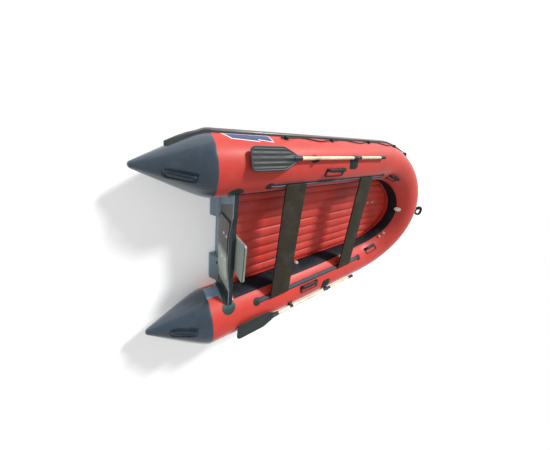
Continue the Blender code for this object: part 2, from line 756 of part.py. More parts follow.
def bar_rings(points, radius, sides):
    """Rings of a round bar through points, each square to the bar."""
    rings = []
    for index, point in enumerate(points):
        before = points[max(0, index - 1)]
        after = points[min(len(points) - 1, index + 1)]
        ahead = (after - before).normalized()
        side_way = ahead.cross(Vector((0.13, 0.21, 1.0))).normalized()
        up_way = side_way.cross(ahead)
        turns = [2 * math.pi * step / sides for step in range(sides)]
        rings.append(
            [point + side_way * radius * math.cos(t) + up_way * radius * math.sin(t) for t in turns]
        )
    return rings


def build_handle(name, spot, side, half_length, half_width, seat=PAD_LIFT):
    """A moulded frame glued to the skin, with a raised grip bar along its port side."""
    thickness = HANDLE_BASE_THICKNESS

    def frame(object_name, length, width, low, high):
        rings = []
        for share in (-1.0, -0.93, -0.31, 0.31, 0.93, 1.0):
            reach = width * (0.72 if abs(share) == 1.0 else 1.0)
            overs = spread(-reach, reach, 4)
            ring = [spot(share * length, over, low) for over in overs]
            ring += [spot(share * length, over, high) for over in reversed(overs)]
            rings.append(ring)
        return sweep(object_name, rings, "trim_black")

    handle = frame(name, half_length, half_width, seat, seat + thickness)
    window = frame("handle_window", half_length - 0.02, half_width - 0.013, -0.01, 0.02)
    boolean(handle, window, "DIFFERENCE")
    over = side * (half_width - HANDLE_BAR_INSET)
    reach = half_length - 0.012
    foot = seat + thickness * 0.8
    points = []
    for share, lift in ((-1.0, foot), (-1.0, 0.016), (-0.9, 0.029), (-0.76, HANDLE_BAR_LIFT),
                        (0.0, HANDLE_BAR_LIFT + 0.003), (0.76, HANDLE_BAR_LIFT), (0.9, 0.029),
                        (1.0, 0.016), (1.0, foot)):
        points.append(spot(share * reach, over, lift))
    bm = bmesh.new()
    add_sweep(bm, bar_rings(points, HANDLE_BAR_RADIUS, 8))
    boolean(handle, add_object("handle_bar", bm, "trim_black"), "UNION")


def build_handles():
    """Handles amidships, at the bow's shoulders and on the stern cones."""
    for side, name in SIDE_NAMES.items():
        along, angle = MIDDLE_HANDLES[side]
        build_handle("handle_middle_" + name, surface(along, side, angle), side,
                     HANDLE_HALF_LENGTH, HANDLE_HALF_WIDTH)
        along, angle = BOW_HANDLE
        build_handle("handle_bow_" + name, surface(along, side, angle), side,
                     HANDLE_HALF_LENGTH, HANDLE_HALF_WIDTH, BOW_PAD_LIFT)
        along, angle = STERN_HANDLE
        build_handle("handle_stern_" + name, surface(along, side, angle), side, 0.09, 0.03,
                     CONE_PAD_LIFT)


def build_eyelets():
    """Moulded eyelets: a round base with an arch that the grab line runs under."""
    for side, name in SIDE_NAMES.items():
        for index, (along, angle) in enumerate(EYELETS, 1):
            spot = surface(along, side, angle)
            rings = []
            for share in (-0.95, -0.7, -0.25, 0.25, 0.7, 0.95):
                reach = EYELET_BASE_RADIUS * math.sqrt(1 - share * share)
                ahead = EYELET_BASE_RADIUS * share
                overs = spread(-reach, reach, 6)
                ring = [spot(ahead, over, PAD_LIFT) for over in overs]
                ring += [spot(ahead, over, EYELET_BASE_THICKNESS) for over in reversed(overs)]
                rings.append(ring)
            eyelet = sweep("line_eyelet_%s_%d" % (name, index), rings, "trim_black")
            arch = []
            for degrees in spread(-30.0, 210.0, 7):
                turn = math.radians(degrees)
                over = EYELET_ARCH_RADIUS * math.cos(turn)
                lift = LINE_HELD_LIFT + EYELET_ARCH_RADIUS * math.sin(turn)
                arch.append(spot(0.0, over, lift))
            bm = bmesh.new()
            add_sweep(bm, bar_rings(arch, EYELET_BAR_RADIUS, 6))
            boolean(eyelet, add_object("eyelet_arch", bm, "trim_black"), "UNION")


def eased(share):
    """A share from 0 to 1 that starts and ends gently."""
    share = min(1.0, max(0.0, share))
    return share * share * (3 - 2 * share)


def line_place(along):
    """Angle and lift of the grab line: held up in the eyelets, slack and wavy between them."""
    stops = (LINE_START, *EYELETS, LINE_END)
    index = sum(1 for stop in stops[1:-1] if stop[0] < along)
    before, after = stops[index], stops[index + 1]
    share = (along - before[0]) / (after[0] - before[0])
    angle = before[1] + (after[1] - before[1]) * eased(share)
    if 0 < index < len(stops) - 2:
        wave = LINE_WAVE * (after[0] - before[0])
        angle += wave * 1.3 * math.sin(2 * math.pi * share) * math.sin(math.pi * share)
    away = min(abs(along - place) for place, eyelet_angle in EYELETS)
    free = eased((away - 0.036) / 0.06)
    return angle, LINE_HELD_LIFT + (LINE_FREE_LIFT - LINE_HELD_LIFT) * free


def build_grab_lines():
    """The grab line of each side, under its eyelets and slack over the tube between them."""
    for side, name in SIDE_NAMES.items():
        points = []
        for along in spread(LINE_START[0], LINE_END[0], 76):
            angle, lift = line_place(along)
            points.append(station(along, side).skin(angle, lift))
        curve = bpy.data.curves.new("grab_line_" + name, "CURVE")
        curve.dimensions = "3D"
        curve.bevel_depth = LINE_RADIUS
        curve.bevel_resolution = 2
        curve.use_fill_caps = True
        curve.resolution_u = 1
        curve.render_resolution_u = 0
        spline = curve.splines.new("POLY")
        spline.points.add(len(points) - 1)
        for point, place in zip(spline.points, points):
            point.co = (*place, 1.0)
        curve.materials.append(material("line_black"))
        made = bpy.data.objects.new("grab_line_" + name, curve)
        bpy.context.collection.objects.link(made)
        made.parent = bpy.data.objects["hull_frame"]


def build_tow_eye():
    """The towing eye on the stem: a glued pad with a wide loop."""
    place = station(BOW_MIDDLE, PORT)
    rings = []
    for along, trim in ((-0.05, 8.0), (-0.035, 2.0), (0.0, 0.0), (0.035, 2.0), (0.05, 8.0)):
        here = station(BOW_MIDDLE + along, PORT)
        rings.append(pad_ring(here, TOW_EYE_ANGLE - 14 + trim, TOW_EYE_ANGLE + 14 - trim, 5,
                              PAD_LIFT, 0.005))
    eye = sweep("towing_eye", rings, "trim_black")
    turn = math.radians(TOW_EYE_ANGLE)
    away = place.outward * math.sin(turn) + place.up * math.cos(turn)
    across = Vector((0, 1, 0))
    lower = -away.cross(across).normalized() * 0.0075
    root = place.skin(TOW_EYE_ANGLE, 0.003)

    def loop(object_name, corners, thickness):
        rings = []
        for level in (-thickness, thickness):
            rings.append([root + across * y + away * out + lower * level for y, out in corners])
        return sweep(object_name, rings, "trim_black")

    half_outer = ((0.022, 0.0), (0.060, 0.050), (0.066, 0.080), (0.055, 0.100),
                  (0.034, TOW_EYE_REACH - 0.003))
    half_inner = ((0.012, 0.030), (0.044, 0.060), (0.047, 0.080), (0.038, 0.092), (0.022, 0.098))
    outer = [(-y, out) for y, out in half_outer] + list(reversed(half_outer))
    inner = [(-y, out) for y, out in half_inner] + list(reversed(half_inner))
    boolean(eye, loop("eye_loop", outer, 1.0), "UNION")
    boolean(eye, loop("eye_hole", inner, 3.0), "DIFFERENCE")


# Valves

def valve_rings(spot, radius, base, height):
    """Rings of a round valve: a wide base and a lower cap, from the skin upwards."""
    turns = [2 * math.pi * index / 16 for index in range(16)]
    rings = []
    for size, lift in ((radius, BOW_PAD_LIFT), (radius, base), (radius * 0.72, base + 0.001),
                       (radius * 0.66, height)):
        rings.append([spot(size * math.cos(t), size * math.sin(t), lift) for t in turns])
    return rings


def build_bow_valve():
    """The large valve at the bow: a round flange over the band's upper edge, with a cap."""
    along, angle = BOW_VALVE_PLACE
    spot = surface(along, PORT, angle)
    over_band = BAND_LIFT + BAND_THICKNESS + BOW_PAD_LIFT
    flange = over_band + 0.003

    def seat(over):
        on_band = angle + around(over) < BAND_BOW_TOP_ANGLE + 3.0
        return over_band if on_band else BOW_PAD_LIFT

    rings = []
    for share in (-0.97, -0.82, -0.5, 0.0, 0.5, 0.82, 0.97):
        reach = BOW_VALVE_RADIUS * math.sqrt(1 - share * share)
        ahead = BOW_VALVE_RADIUS * share
        overs = spread(-reach, reach, 8)
        ring = [spot(ahead, over, seat(over)) for over in overs]
        ring += [spot(ahead, over, flange) for over in reversed(overs)]
        rings.append(ring)
    valve = sweep("valve_bow", rings, "valve_white")
    turns = [2 * math.pi * index / 20 for index in range(20)]
    rings = []
    for size, lift in ((0.03, -0.0005), (0.03, 0.004), (0.027, 0.007)):
        rings.append(
            [spot(size * math.cos(t), size * math.sin(t), flange + lift) for t in turns]
        )
    boolean(valve, sweep("valve_cap", rings, "valve_white"), "UNION")


def build_valve_pair(name, spot, half_spacing):
    """Two valves side by side on one glued patch."""
    rings = []
    for share in (-1.0, -0.9, 0.0, 0.9, 1.0):
        reach = VALVE_PATCH_HALF_WIDTH * (0.7 if abs(share) == 1.0 else 1.0)
        ahead = share * (half_spacing + VALVE_PATCH_HALF_WIDTH)
        overs = spread(-reach, reach, 4)
        ring = [spot(ahead, over, BOW_PAD_LIFT) for over in overs]
        ring += [spot(ahead, over, VALVE_PATCH_THICKNESS) for over in reversed(overs)]
        rings.append(ring)
    pair = sweep(name, rings, "valve_grey")
    for offset in (-half_spacing, half_spacing):
        def shifted(ahead, over, lift, offset=offset):
            return spot(ahead + offset, over, lift + 0.001)

        valve = sweep("valve_body", valve_rings(shifted, 0.02, 0.004, 0.010), "valve_grey")
        boolean(pair, valve, "UNION")


def build_valves():
    """Inflation valves: at the bow, in a pair at its starboard shoulder, and for the floor."""
    build_bow_valve()
    along, angle = TUBE_VALVES_PLACE
    build_valve_pair("valve_pair_tube", surface(along, STARBOARD, angle), 0.05)
    along, angle = SIDE_VALVE_PLACE
    spot = surface(along, STARBOARD, angle)

    def raised(ahead, over, lift):
        return spot(ahead, over, lift + BAND_THICKNESS + 0.0005)

    sweep("valve_side", valve_rings(raised, 0.025, 0.004, 0.012), "valve_grey")

    def on_rib(ahead, over, lift):
        along = FLOOR_VALVES_X + ahead
        past = (along - STRAIGHT_LENGTH) / BOW_LENGTH
        level = FLOOR_TOP_Z + FLOOR_RIB_RISE + BOW_RISE * past * past
        height = level + lift - BOW_PAD_LIFT + 2 * SEAT_GAP
        return Vector((along, FLOOR_RIB_WIDTH + over, height))

    build_valve_pair("valve_pair_floor", on_rib, 0.05)


def stand_on_floor(frame):
    """Move the whole boat so that its bounding box stands on the world's origin."""
    corners = []
    for item in frame.children:
        corners += [item.location + Vector(corner) for corner in item.bound_box]
    middle_x = (min(c.x for c in corners) + max(c.x for c in corners)) / 2
    low_z = min(c.z for c in corners)
    frame.location = (-middle_x, 0.0, -low_z)


def main():
    """Clear the scene and build the boat."""
    for item in list(bpy.data.objects):
        bpy.data.objects.remove(item)
    frame = bpy.data.objects.new("hull_frame", None)
    bpy.context.collection.objects.link(frame)
    build_tubes()
    build_cones()
    build_strakes()
    build_guards()
    build_transom()
    build_transom_holders()
    build_floor()
    build_bands()
    build_rails()
    build_benches()
    build_oars()
    build_handles()
    build_eyelets()
    build_grab_lines()
    build_tow_eye()
    build_valves()
    stand_on_floor(frame)


main()
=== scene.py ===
import math  # noqa: E402

import bmesh  # noqa: E402
import bpy  # noqa: E402
from bpy.props import FloatProperty, FloatVectorProperty, IntProperty, PointerProperty  # noqa: E402
from mathutils import Matrix, Vector  # noqa: E402


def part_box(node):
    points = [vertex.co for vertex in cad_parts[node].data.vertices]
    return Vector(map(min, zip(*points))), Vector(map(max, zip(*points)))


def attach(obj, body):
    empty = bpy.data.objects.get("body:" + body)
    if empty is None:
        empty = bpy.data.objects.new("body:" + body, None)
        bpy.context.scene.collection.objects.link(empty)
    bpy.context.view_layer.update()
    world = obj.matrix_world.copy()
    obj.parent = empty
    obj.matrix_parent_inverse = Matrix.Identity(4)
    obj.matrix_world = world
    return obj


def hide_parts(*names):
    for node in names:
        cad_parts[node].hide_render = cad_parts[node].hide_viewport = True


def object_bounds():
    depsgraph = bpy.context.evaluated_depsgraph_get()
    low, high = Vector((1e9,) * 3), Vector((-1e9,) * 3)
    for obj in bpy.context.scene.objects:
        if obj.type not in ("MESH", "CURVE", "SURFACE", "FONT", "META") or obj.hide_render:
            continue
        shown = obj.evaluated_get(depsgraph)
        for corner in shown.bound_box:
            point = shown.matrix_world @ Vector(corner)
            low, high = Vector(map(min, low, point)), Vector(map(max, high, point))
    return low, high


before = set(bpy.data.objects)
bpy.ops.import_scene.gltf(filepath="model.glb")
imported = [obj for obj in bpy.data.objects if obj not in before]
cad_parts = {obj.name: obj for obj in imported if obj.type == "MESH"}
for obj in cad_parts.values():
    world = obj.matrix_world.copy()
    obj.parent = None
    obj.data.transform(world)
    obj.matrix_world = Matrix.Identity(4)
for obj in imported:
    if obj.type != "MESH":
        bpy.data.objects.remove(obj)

bl_info = {
    "name": "Inflatable Boat Dressing",
    "version": (1, 0, 0),
    "blender": (4, 5, 0),
    "location": "View3D > Sidebar > Boat",
    "description": "Dresses the packed inflatable boat in coated fabric, moulded rubber and board",
    "category": "Object",
}

CAD_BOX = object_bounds()

# Hull measures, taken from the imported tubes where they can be
TUBE_LOW, TUBE_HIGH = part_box("tube_port")
TUBE_RADIUS = (TUBE_HIGH.z - TUBE_LOW.z) / 2
TUBE_SPREAD = (TUBE_HIGH.y + TUBE_LOW.y) / 2
HULL_ORIGIN = Vector((TUBE_LOW.x, 0.0, (TUBE_HIGH.z + TUBE_LOW.z) / 2))
STRAIGHT_LENGTH = 1.99
BOW_LENGTH = 0.73
BOW_RISE = 0.11
BOW_MIDDLE = STRAIGHT_LENGTH + math.pi / 2 * (BOW_LENGTH + TUBE_SPREAD) / 2
BOW_END = 2 * BOW_MIDDLE - STRAIGHT_LENGTH
CONE_LENGTH = 0.45
CONE_TIP_RADIUS = 0.03
CONE_TIP_DROP = 0.06
CONE_ROUNDING = 0.15
PORT, STARBOARD = 1, -1
SIDES = {PORT: "port", STARBOARD: "starboard"}
UP, ACROSS, AFT = Vector((0, 0, 1)), Vector((0, 1, 0)), Vector((-1, 0, 0))

# Fineness of the meshes, and the gap under what is glued on
TUBE_RINGS, BOW_RINGS = 60, 144
MERGE_DISTANCE = 0.00002
GLUE_GAP = 0.0003
WRAP_STEP, WRAP_STEP_ALONG = 0.012, 0.03


class Station:
    """A place along a tube: its centre, its directions and the tube's radius there."""

    def __init__(self, centre, ahead, outward, radius):
        self.centre = centre
        self.ahead = ahead.normalized()
        self.outward = outward.normalized()
        self.up = self.ahead.cross(self.outward)
        if self.up.z < 0.0:
            self.up = -self.up
        self.radius = radius

    def at(self, out, up):
        """The point this far outward and upward from the tube's axis."""
        return self.centre + self.outward * out + self.up * up

    def skin(self, angle, lift=0.0):
        """The point on the skin, at an angle outboard of the tube's top, raised by lift."""
        turn = math.radians(angle)
        reach = self.radius + lift
        return self.at(reach * math.sin(turn), reach * math.cos(turn))


def cone_radius(back):
    """Radius of a stern cone this far aft of its joint."""
    share = back / (CONE_LENGTH - CONE_TIP_RADIUS)
    full = math.hypot(1.0, CONE_ROUNDING) - CONE_ROUNDING
    taper = (math.hypot(share, CONE_ROUNDING) - CONE_ROUNDING) / full
    return TUBE_RADIUS - (TUBE_RADIUS - CONE_TIP_RADIUS) * taper


def station(along, side):
    """The station this far along a tube from its cone joint; past the bow's middle it goes on."""
    if along <= STRAIGHT_LENGTH:
        drop = CONE_TIP_DROP * min(0.0, along) / CONE_LENGTH
        centre = HULL_ORIGIN + Vector((along, side * TUBE_SPREAD, drop))
        radius = cone_radius(-along) if along < 0.0 else TUBE_RADIUS
        return Station(centre, Vector((1, 0, 0)), Vector((0, side, 0)), radius)
    turn = (along - STRAIGHT_LENGTH) / ((BOW_LENGTH + TUBE_SPREAD) / 2)
    sine, cosine = math.sin(turn), math.cos(turn)
    centre = HULL_ORIGIN + Vector(
        (STRAIGHT_LENGTH + BOW_LENGTH * sine, side * TUBE_SPREAD * cosine, BOW_RISE * sine * sine)
    )
    ahead = Vector((BOW_LENGTH * cosine, -side * TUBE_SPREAD * sine, 2 * BOW_RISE * sine * cosine))
    outward = Vector((0, 0, 1)).cross(ahead) * side
    return Station(centre, ahead, outward, TUBE_RADIUS)


def skin_spot(along, side, angle):
    """A function from distances ahead, round the tube and off its skin to a point."""
    def spot(ahead, over, lift):
        place = station(along + ahead, side)
        return place.skin(angle + math.degrees(over / place.radius), lift)

    return spot


def mix(first, second, share):
    """The value a share of the way from the first to the second."""
    return first + (second - first) * share


def smooth_step(low, high, value):
    """0 below low, 1 above high, and an even curve between them."""
    share = min(1.0, max(0.0, (value - low) / (high - low)))
    return share * share * (3 - 2 * share)


def along_table(table, value):
    """A value between the rows of a table of (place, value), which stand in order of place."""
    for (left, first), (right, second) in zip(table, table[1:]):
        if value <= right:
            return mix(first, second, max(0.0, (value - left) / (right - left)))
    return table[-1][1]


# Mesh tools

def add_surface(bm, place, along, around, closed=True, pattern=None):
    """Add a grid whose corners lie where place(u, v) says, joined round and capped if closed."""
    made = bmesh.ops.create_grid(bm, x_segments=along, y_segments=around, size=0.5)
    verts = made["verts"]
    if pattern:
        layer = bm.loops.layers.uv.verify()
        for face in {face for vert in verts for face in vert.link_faces}:
            for loop in face.loops:
                loop[layer].uv = pattern(loop.vert.co.x + 0.5, loop.vert.co.y + 0.5)
    for vert in verts:
        vert.co = place(vert.co.x + 0.5, vert.co.y + 0.5)
    if closed:
        bmesh.ops.remove_doubles(bm, verts=verts, dist=MERGE_DISTANCE)
        close_holes(bm)


def close_holes(bm):
    """Fill every open loop of edges with a face."""
    open_edges = [edge for edge in bm.edges if edge.is_boundary]
    if open_edges:
        bmesh.ops.holes_fill(bm, edges=open_edges, sides=0)


def rim_wave(turn, power):
    """Cosine and sine of a turn, pushed outward so that a ring through them has square shoulders."""
    cosine, sine = math.cos(turn), math.sin(turn)
    return (
        math.copysign(abs(cosine) ** power, cosine),
        math.copysign(abs(sine) ** power, sine),
    )


def add_round(bm, place, along, around, radius_at):
    """Add a round bar: place(share, x, y) puts a point of the ring at a share of its length."""
    def corner(u, v):
        radius = radius_at(u)
        turn = 2 * math.pi * v
        return place(u, radius * math.cos(turn), radius * math.sin(turn))

    add_surface(bm, corner, along, around)


def add_outline(bm, corners, rounding=0.0, segments=4):
    """Add a flat face through corners, with its corners rounded, and return it."""
    verts = [bm.verts.new((x, y, 0.0)) for x, y in corners]
    face = bmesh.ops.contextual_create(bm, geom=verts)["faces"][0]
    if rounding:
        bmesh.ops.bevel(
            bm, geom=verts, offset=rounding, offset_type="OFFSET", affect="VERTICES",
            segments=segments, profile=0.5, material=-1,
        )
        face = [item for item in bm.faces if all(abs(v.co.z) < 1e-9 for v in item.verts)][-1]
    if face.normal.z < 0:
        face.normal_flip()
    return face


def rectangle(length, width, x=0.0, y=0.0):
    """The corners of a rectangle round a centre."""
    half_x, half_y = length / 2, width / 2
    return [
        (x - half_x, y - half_y), (x + half_x, y - half_y),
        (x + half_x, y + half_y), (x - half_x, y + half_y),
    ]


def disc(radius, count=28, x=0.0, y=0.0):
    """The corners of a round outline."""
    turns = [2 * math.pi * index / count for index in range(count)]
    return [(x + radius * math.cos(turn), y + radius * math.sin(turn)) for turn in turns]


def round_edges(bm, edges, radius, segments=2, clamp=True):
    """Round edges with a bevel."""
    bmesh.ops.bevel(
        bm, geom=edges, offset=radius, offset_type="OFFSET", affect="EDGES", segments=segments,
        profile=0.5, material=-1, clamp_overlap=clamp,
    )


def add_slab(bm, corners, height, edge=0.0, rounding=0.0, segments=4, edge_segments=2):
    """Add a flat slab with round corners and a round upper edge."""
    face = add_outline(bm, corners, rounding, segments)
    raised = bmesh.ops.extrude_face_region(bm, geom=[face])["geom"]
    top = [item for item in raised if isinstance(item, bmesh.types.BMVert)]
    bmesh.ops.translate(bm, verts=top, vec=(0, 0, height))
    close_holes(bm)
    if edge:
        bm.normal_update()
        crowd = set(top)
        rim = [
            item for item in bm.edges
            if item.verts[0] in crowd and item.verts[1] in crowd and len(item.link_faces) == 2
            and abs(item.link_faces[0].normal.z - item.link_faces[1].normal.z) > 0.3
        ]
        round_edges(bm, rim, edge, edge_segments)


def cut_across(bm, axis, step):
    """Cut every face along planes a step apart, so that it can follow a curved skin."""
    values = [vert.co[axis] for vert in bm.verts]
    low, high = min(values), max(values)
    count = int((high - low) / step)
    normal = Vector((0, 0, 0))
    normal[axis] = 1.0
    for index in range(1, count + 1):
        point = normal * mix(low, high, index / (count + 1))
        geom = list(bm.verts) + list(bm.edges) + list(bm.faces)
        bmesh.ops.bisect_plane(bm, geom=geom, dist=1e-6, plane_co=point, plane_no=normal)


def wrap(bm, spot, step=WRAP_STEP, along_step=WRAP_STEP_ALONG):
    """Cut a flat pattern finely enough and lay it on the skin that spot describes."""
    cut_across(bm, 1, step)
    cut_across(bm, 0, along_step)
    layer = bm.loops.layers.uv.verify()
    for face in bm.faces:
        for loop in face.loops:
            loop[layer].uv = (loop.vert.co.x, loop.vert.co.y)
    for vert in bm.verts:
        vert.co = spot(*vert.co)


def join(bm, other):
    """Add a finished bmesh to another one and free it."""
    mesh = bpy.data.meshes.new("joined")
    other.to_mesh(mesh)
    other.free()
    bm.from_mesh(mesh)
    bpy.data.meshes.remove(mesh)


def add_pad(bm, corners, spot, height, edge=0.0, rounding=0.0, segments=4, gap=GLUE_GAP,
            step=WRAP_STEP, along_step=WRAP_STEP_ALONG, edge_segments=2):
    """Add a flat piece with a rounded edge, laid on the skin that spot describes."""
    pad = bmesh.new()
    add_slab(pad, corners, height, edge, rounding, segments, edge_segments)
    wrap(pad, lambda x, y, z: spot(x, y, z + gap), step, along_step)
    join(bm, pad)


def off_skin(spot):
    """The direction straight off the skin that spot describes."""
    return (spot(0, 0, 1.0) - spot(0, 0, 0)).normalized()


def add_bar(bm, points, radius, sides=10, smooth=True):
    """Add a round bar with closed ends along points, curved through them if smooth."""
    curve = bpy.data.curves.new("bar", "CURVE")
    curve.dimensions = "3D"
    curve.bevel_depth = radius
    curve.bevel_resolution = max(0, (sides - 4) // 2)
    curve.use_fill_caps = True
    curve.resolution_u = 4
    spline = curve.splines.new("NURBS" if smooth else "POLY")
    spline.points.add(len(points) - 1)
    for point, place in zip(spline.points, points):
        point.co = (*place, 1.0)
    if smooth:
        spline.order_u = min(4, len(points))
        spline.use_endpoint_u = True
    holder = bpy.data.objects.new("bar", curve)
    mesh = bpy.data.meshes.new_from_object(holder)
    bpy.data.objects.remove(holder)
    bpy.data.curves.remove(curve)
    bar = bmesh.new()
    bar.from_mesh(mesh)
    bpy.data.meshes.remove(mesh)
    bmesh.ops.remove_doubles(bar, verts=bar.verts, dist=0.00001)
    join(bm, bar)


def facing(centre, axis):
    """The matrix that puts a shape made along Z at a centre, pointing along an axis."""
    return Matrix.Translation(centre) @ axis.to_track_quat("Z", "Y").to_matrix().to_4x4()


def add_stud(bm, centre, axis, radius, height, segments=18, top=0.85, edge=0.25):
    """Add a short round stud with a softened upper edge, standing on a face."""
    stud = bmesh.new()
    bmesh.ops.create_cone(
        stud, cap_ends=True, segments=segments, radius1=radius, radius2=radius * top,
        depth=height, matrix=Matrix.Translation((0, 0, height / 2)),
    )
    rim = [item for item in stud.edges if all(v.co.z > height * 0.9 for v in item.verts)]
    round_edges(stud, rim, height * edge)
    bmesh.ops.transform(stud, matrix=facing(centre, axis), verts=stud.verts)
    join(bm, stud)


def finish_piece(name, bm, finish, body="hull", replaces=(), slot=None, sharp=38.0):
    """Make a bmesh a shaded piece that rides on a body and stands for CAD nodes."""
    bmesh.ops.recalc_face_normals(bm, faces=bm.faces)
    mesh = bpy.data.meshes.new(name)
    bm.to_mesh(mesh)
    bm.free()
    mesh.shade_smooth()
    mesh.set_sharp_from_angle(angle=math.radians(sharp))
    mesh.materials.append(finish)
    piece = bpy.data.objects.new(name, mesh)
    bpy.context.scene.collection.objects.link(piece)
    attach(piece, body)
    if replaces:
        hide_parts(*replaces)
    return piece


# Shader tools

class Shader:
    """A node tree with short calls to add nodes and to link them."""

    def __init__(self, tree):
        self.tree = tree

    def node(self, kind, values=(), **settings):
        """Add a node, set its fields, and set or link its inputs by name or number."""
        made = self.tree.nodes.new(kind)
        for field, value in settings.items():
            setattr(made, field, value)
        for key, value in dict(values).items():
            if isinstance(value, bpy.types.NodeSocket):
                self.tree.links.new(value, made.inputs[key])
            else:
                made.inputs[key].default_value = value
        return made

    def maths(self, operation, first, second=0.5, third=0.5):
        """A maths node's result."""
        return self.node(
            "ShaderNodeMath", {0: first, 1: second, 2: third}, operation=operation
        ).outputs[0]

    def ramp(self, factor, low, high, first=0.0, second=1.0):
        """A value carried from one range to another and held at its ends."""
        return self.node(
            "ShaderNodeMapRange",
            {"Value": factor, "From Min": low, "From Max": high, "To Min": first, "To Max": second},
        ).outputs[0]

    def noise(self, vector, scale, detail=4.0, roughness=0.55):
        """A noise pattern's value."""
        return self.node(
            "ShaderNodeTexNoise",
            {"Vector": vector, "Scale": scale, "Detail": detail, "Roughness": roughness},
        ).outputs[0]

    def stretched(self, vector, scale):
        """A vector scaled by its own amount along each axis."""
        return self.node("ShaderNodeMapping", {"Vector": vector, "Scale": scale}).outputs[0]

    def blend(self, factor, first, second, kind="MIX"):
        """Two colours mixed by a factor."""
        made = self.node(
            "ShaderNodeMix", {0: factor, 6: first, 7: second}, data_type="RGBA", blend_type=kind
        )
        return made.outputs[2]


def shader_group(name, inputs, outputs, build):
    """A node group, made once, whose sockets and nodes are the ones given."""
    found = bpy.data.node_groups.get(name)
    if found:
        return found
    tree = bpy.data.node_groups.new(name, "ShaderNodeTree")
    for label, kind, default in inputs:
        socket = tree.interface.new_socket(name=label, in_out="INPUT", socket_type=kind)
        if default is not None:
            socket.default_value = default
    for label in outputs:
        tree.interface.new_socket(name=label, in_out="OUTPUT", socket_type="NodeSocketFloat")
    entry = tree.nodes.new("NodeGroupInput")
    leave = tree.nodes.new("NodeGroupOutput")
    results = build(Shader(tree), entry.outputs)
    for label, result in results.items():
        tree.links.new(result, leave.inputs[label])
    return tree


def build_coat(shader, given):
    """A knitted base under a glossy coat, with slow changes of tone and faint creases."""
    vector, size = given["Vector"], given["Thread"]
    fine = shader.node("ShaderNodeVectorMath", {0: vector, "Scale": size}, operation="SCALE").outputs[0]
    threads = [
        shader.node(
            "ShaderNodeTexWave", {"Vector": fine, "Scale": 1.0, "Distortion": 0.4},
            wave_type="BANDS", bands_direction=way,
        ).outputs[1]
        for way in ("X", "Y")
    ]
    weave = shader.maths("MULTIPLY", *threads)
    creases = shader.noise(shader.stretched(given["Place"], (6.0, 22.0, 22.0)), 1.0, 3.0)
    crease = shader.ramp(creases, 0.35, 0.7)
    tone = shader.noise(given["Place"], 2.6, 5.0, 0.6)
    speckle = shader.noise(given["Place"], 160.0, 2.0)
    height = shader.maths("MULTIPLY_ADD", weave, 0.25, crease)
    return {
        "Height": height,
        "Tone": shader.maths("MULTIPLY_ADD", speckle, 0.25, shader.maths("MULTIPLY", tone, 0.75)),
    }


def build_grain(shader, given):
    """The fine pebbled skin of moulded rubber and plastic."""
    place, size = given["Place"], given["Size"]
    cells = shader.node(
        "ShaderNodeTexVoronoi", {"Vector": place, "Scale": size}, feature="SMOOTH_F1"
    ).outputs[0]
    tone = shader.noise(place, 9.0, 5.0)
    return {"Height": cells, "Tone": tone}


def build_wear(shader, given):
    """Scuffs, drawn out along the boat, and dust that gathers in patches."""
    place = given["Place"]
    lines = shader.noise(shader.stretched(place, (14.0, 120.0, 120.0)), 1.0, 6.0, 0.7)
    patches = shader.noise(place, 5.0, 4.0)
    scuffs = shader.maths("MULTIPLY", shader.ramp(lines, 0.62, 0.74), shader.ramp(patches, 0.45, 0.6))
    dust = shader.ramp(shader.noise(place, 7.5, 6.0, 0.65), 0.5, 0.8)
    return {"Scuffs": scuffs, "Dust": dust}


def build_board(shader, given):
    """Wood grain along one axis, with pores and wider year rings."""
    place = given["Place"]
    rings = shader.noise(shader.stretched(place, (3.0, 0.6, 14.0)), 4.0, 5.0, 0.6)
    pores = shader.noise(shader.stretched(place, (90.0, 6.0, 90.0)), 4.0, 3.0, 0.6)
    return {"Height": pores, "Tone": shader.maths("MULTIPLY_ADD", pores, 0.3, rings)}


# Fineness of the two small patterns, in repeats per metre
THREAD_SIZE, GRAIN_SIZE = 700.0, 500.0

VECTOR, FLOAT = "NodeSocketVector", "NodeSocketFloat"
PLACE = ("Place", VECTOR, None)
GROUPS = {
    "coat": ("Coated fabric", [("Vector", VECTOR, None), PLACE, ("Thread", FLOAT, THREAD_SIZE)],
             ("Height", "Tone"), build_coat),
    "grain": ("Moulded grain", [PLACE, ("Size", FLOAT, GRAIN_SIZE)], ("Height", "Tone"), build_grain),
    "wear": ("Scuffs and dust", [PLACE], ("Scuffs", "Dust"), build_wear),
    "board": ("Board grain", [PLACE], ("Height", "Tone"), build_board),
}


def group_node(shader, key, values):
    """One of the shared groups placed in a material."""
    return shader.node("ShaderNodeGroup", values, node_tree=shader_group(*GROUPS[key]))


FINISH_KINDS = {
    # kind: (group, bump height in metres, tone contrast, roughness low, roughness high)
    "fabric": ("coat", 0.00035, 0.16, 0.30, 0.46),
    "moulded": ("grain", 0.00016, 0.30, 0.38, 0.58),
    "board": ("board", 0.00020, 0.45, 0.32, 0.55),
}
DUST_COLOUR = (0.62, 0.58, 0.52, 1.0)


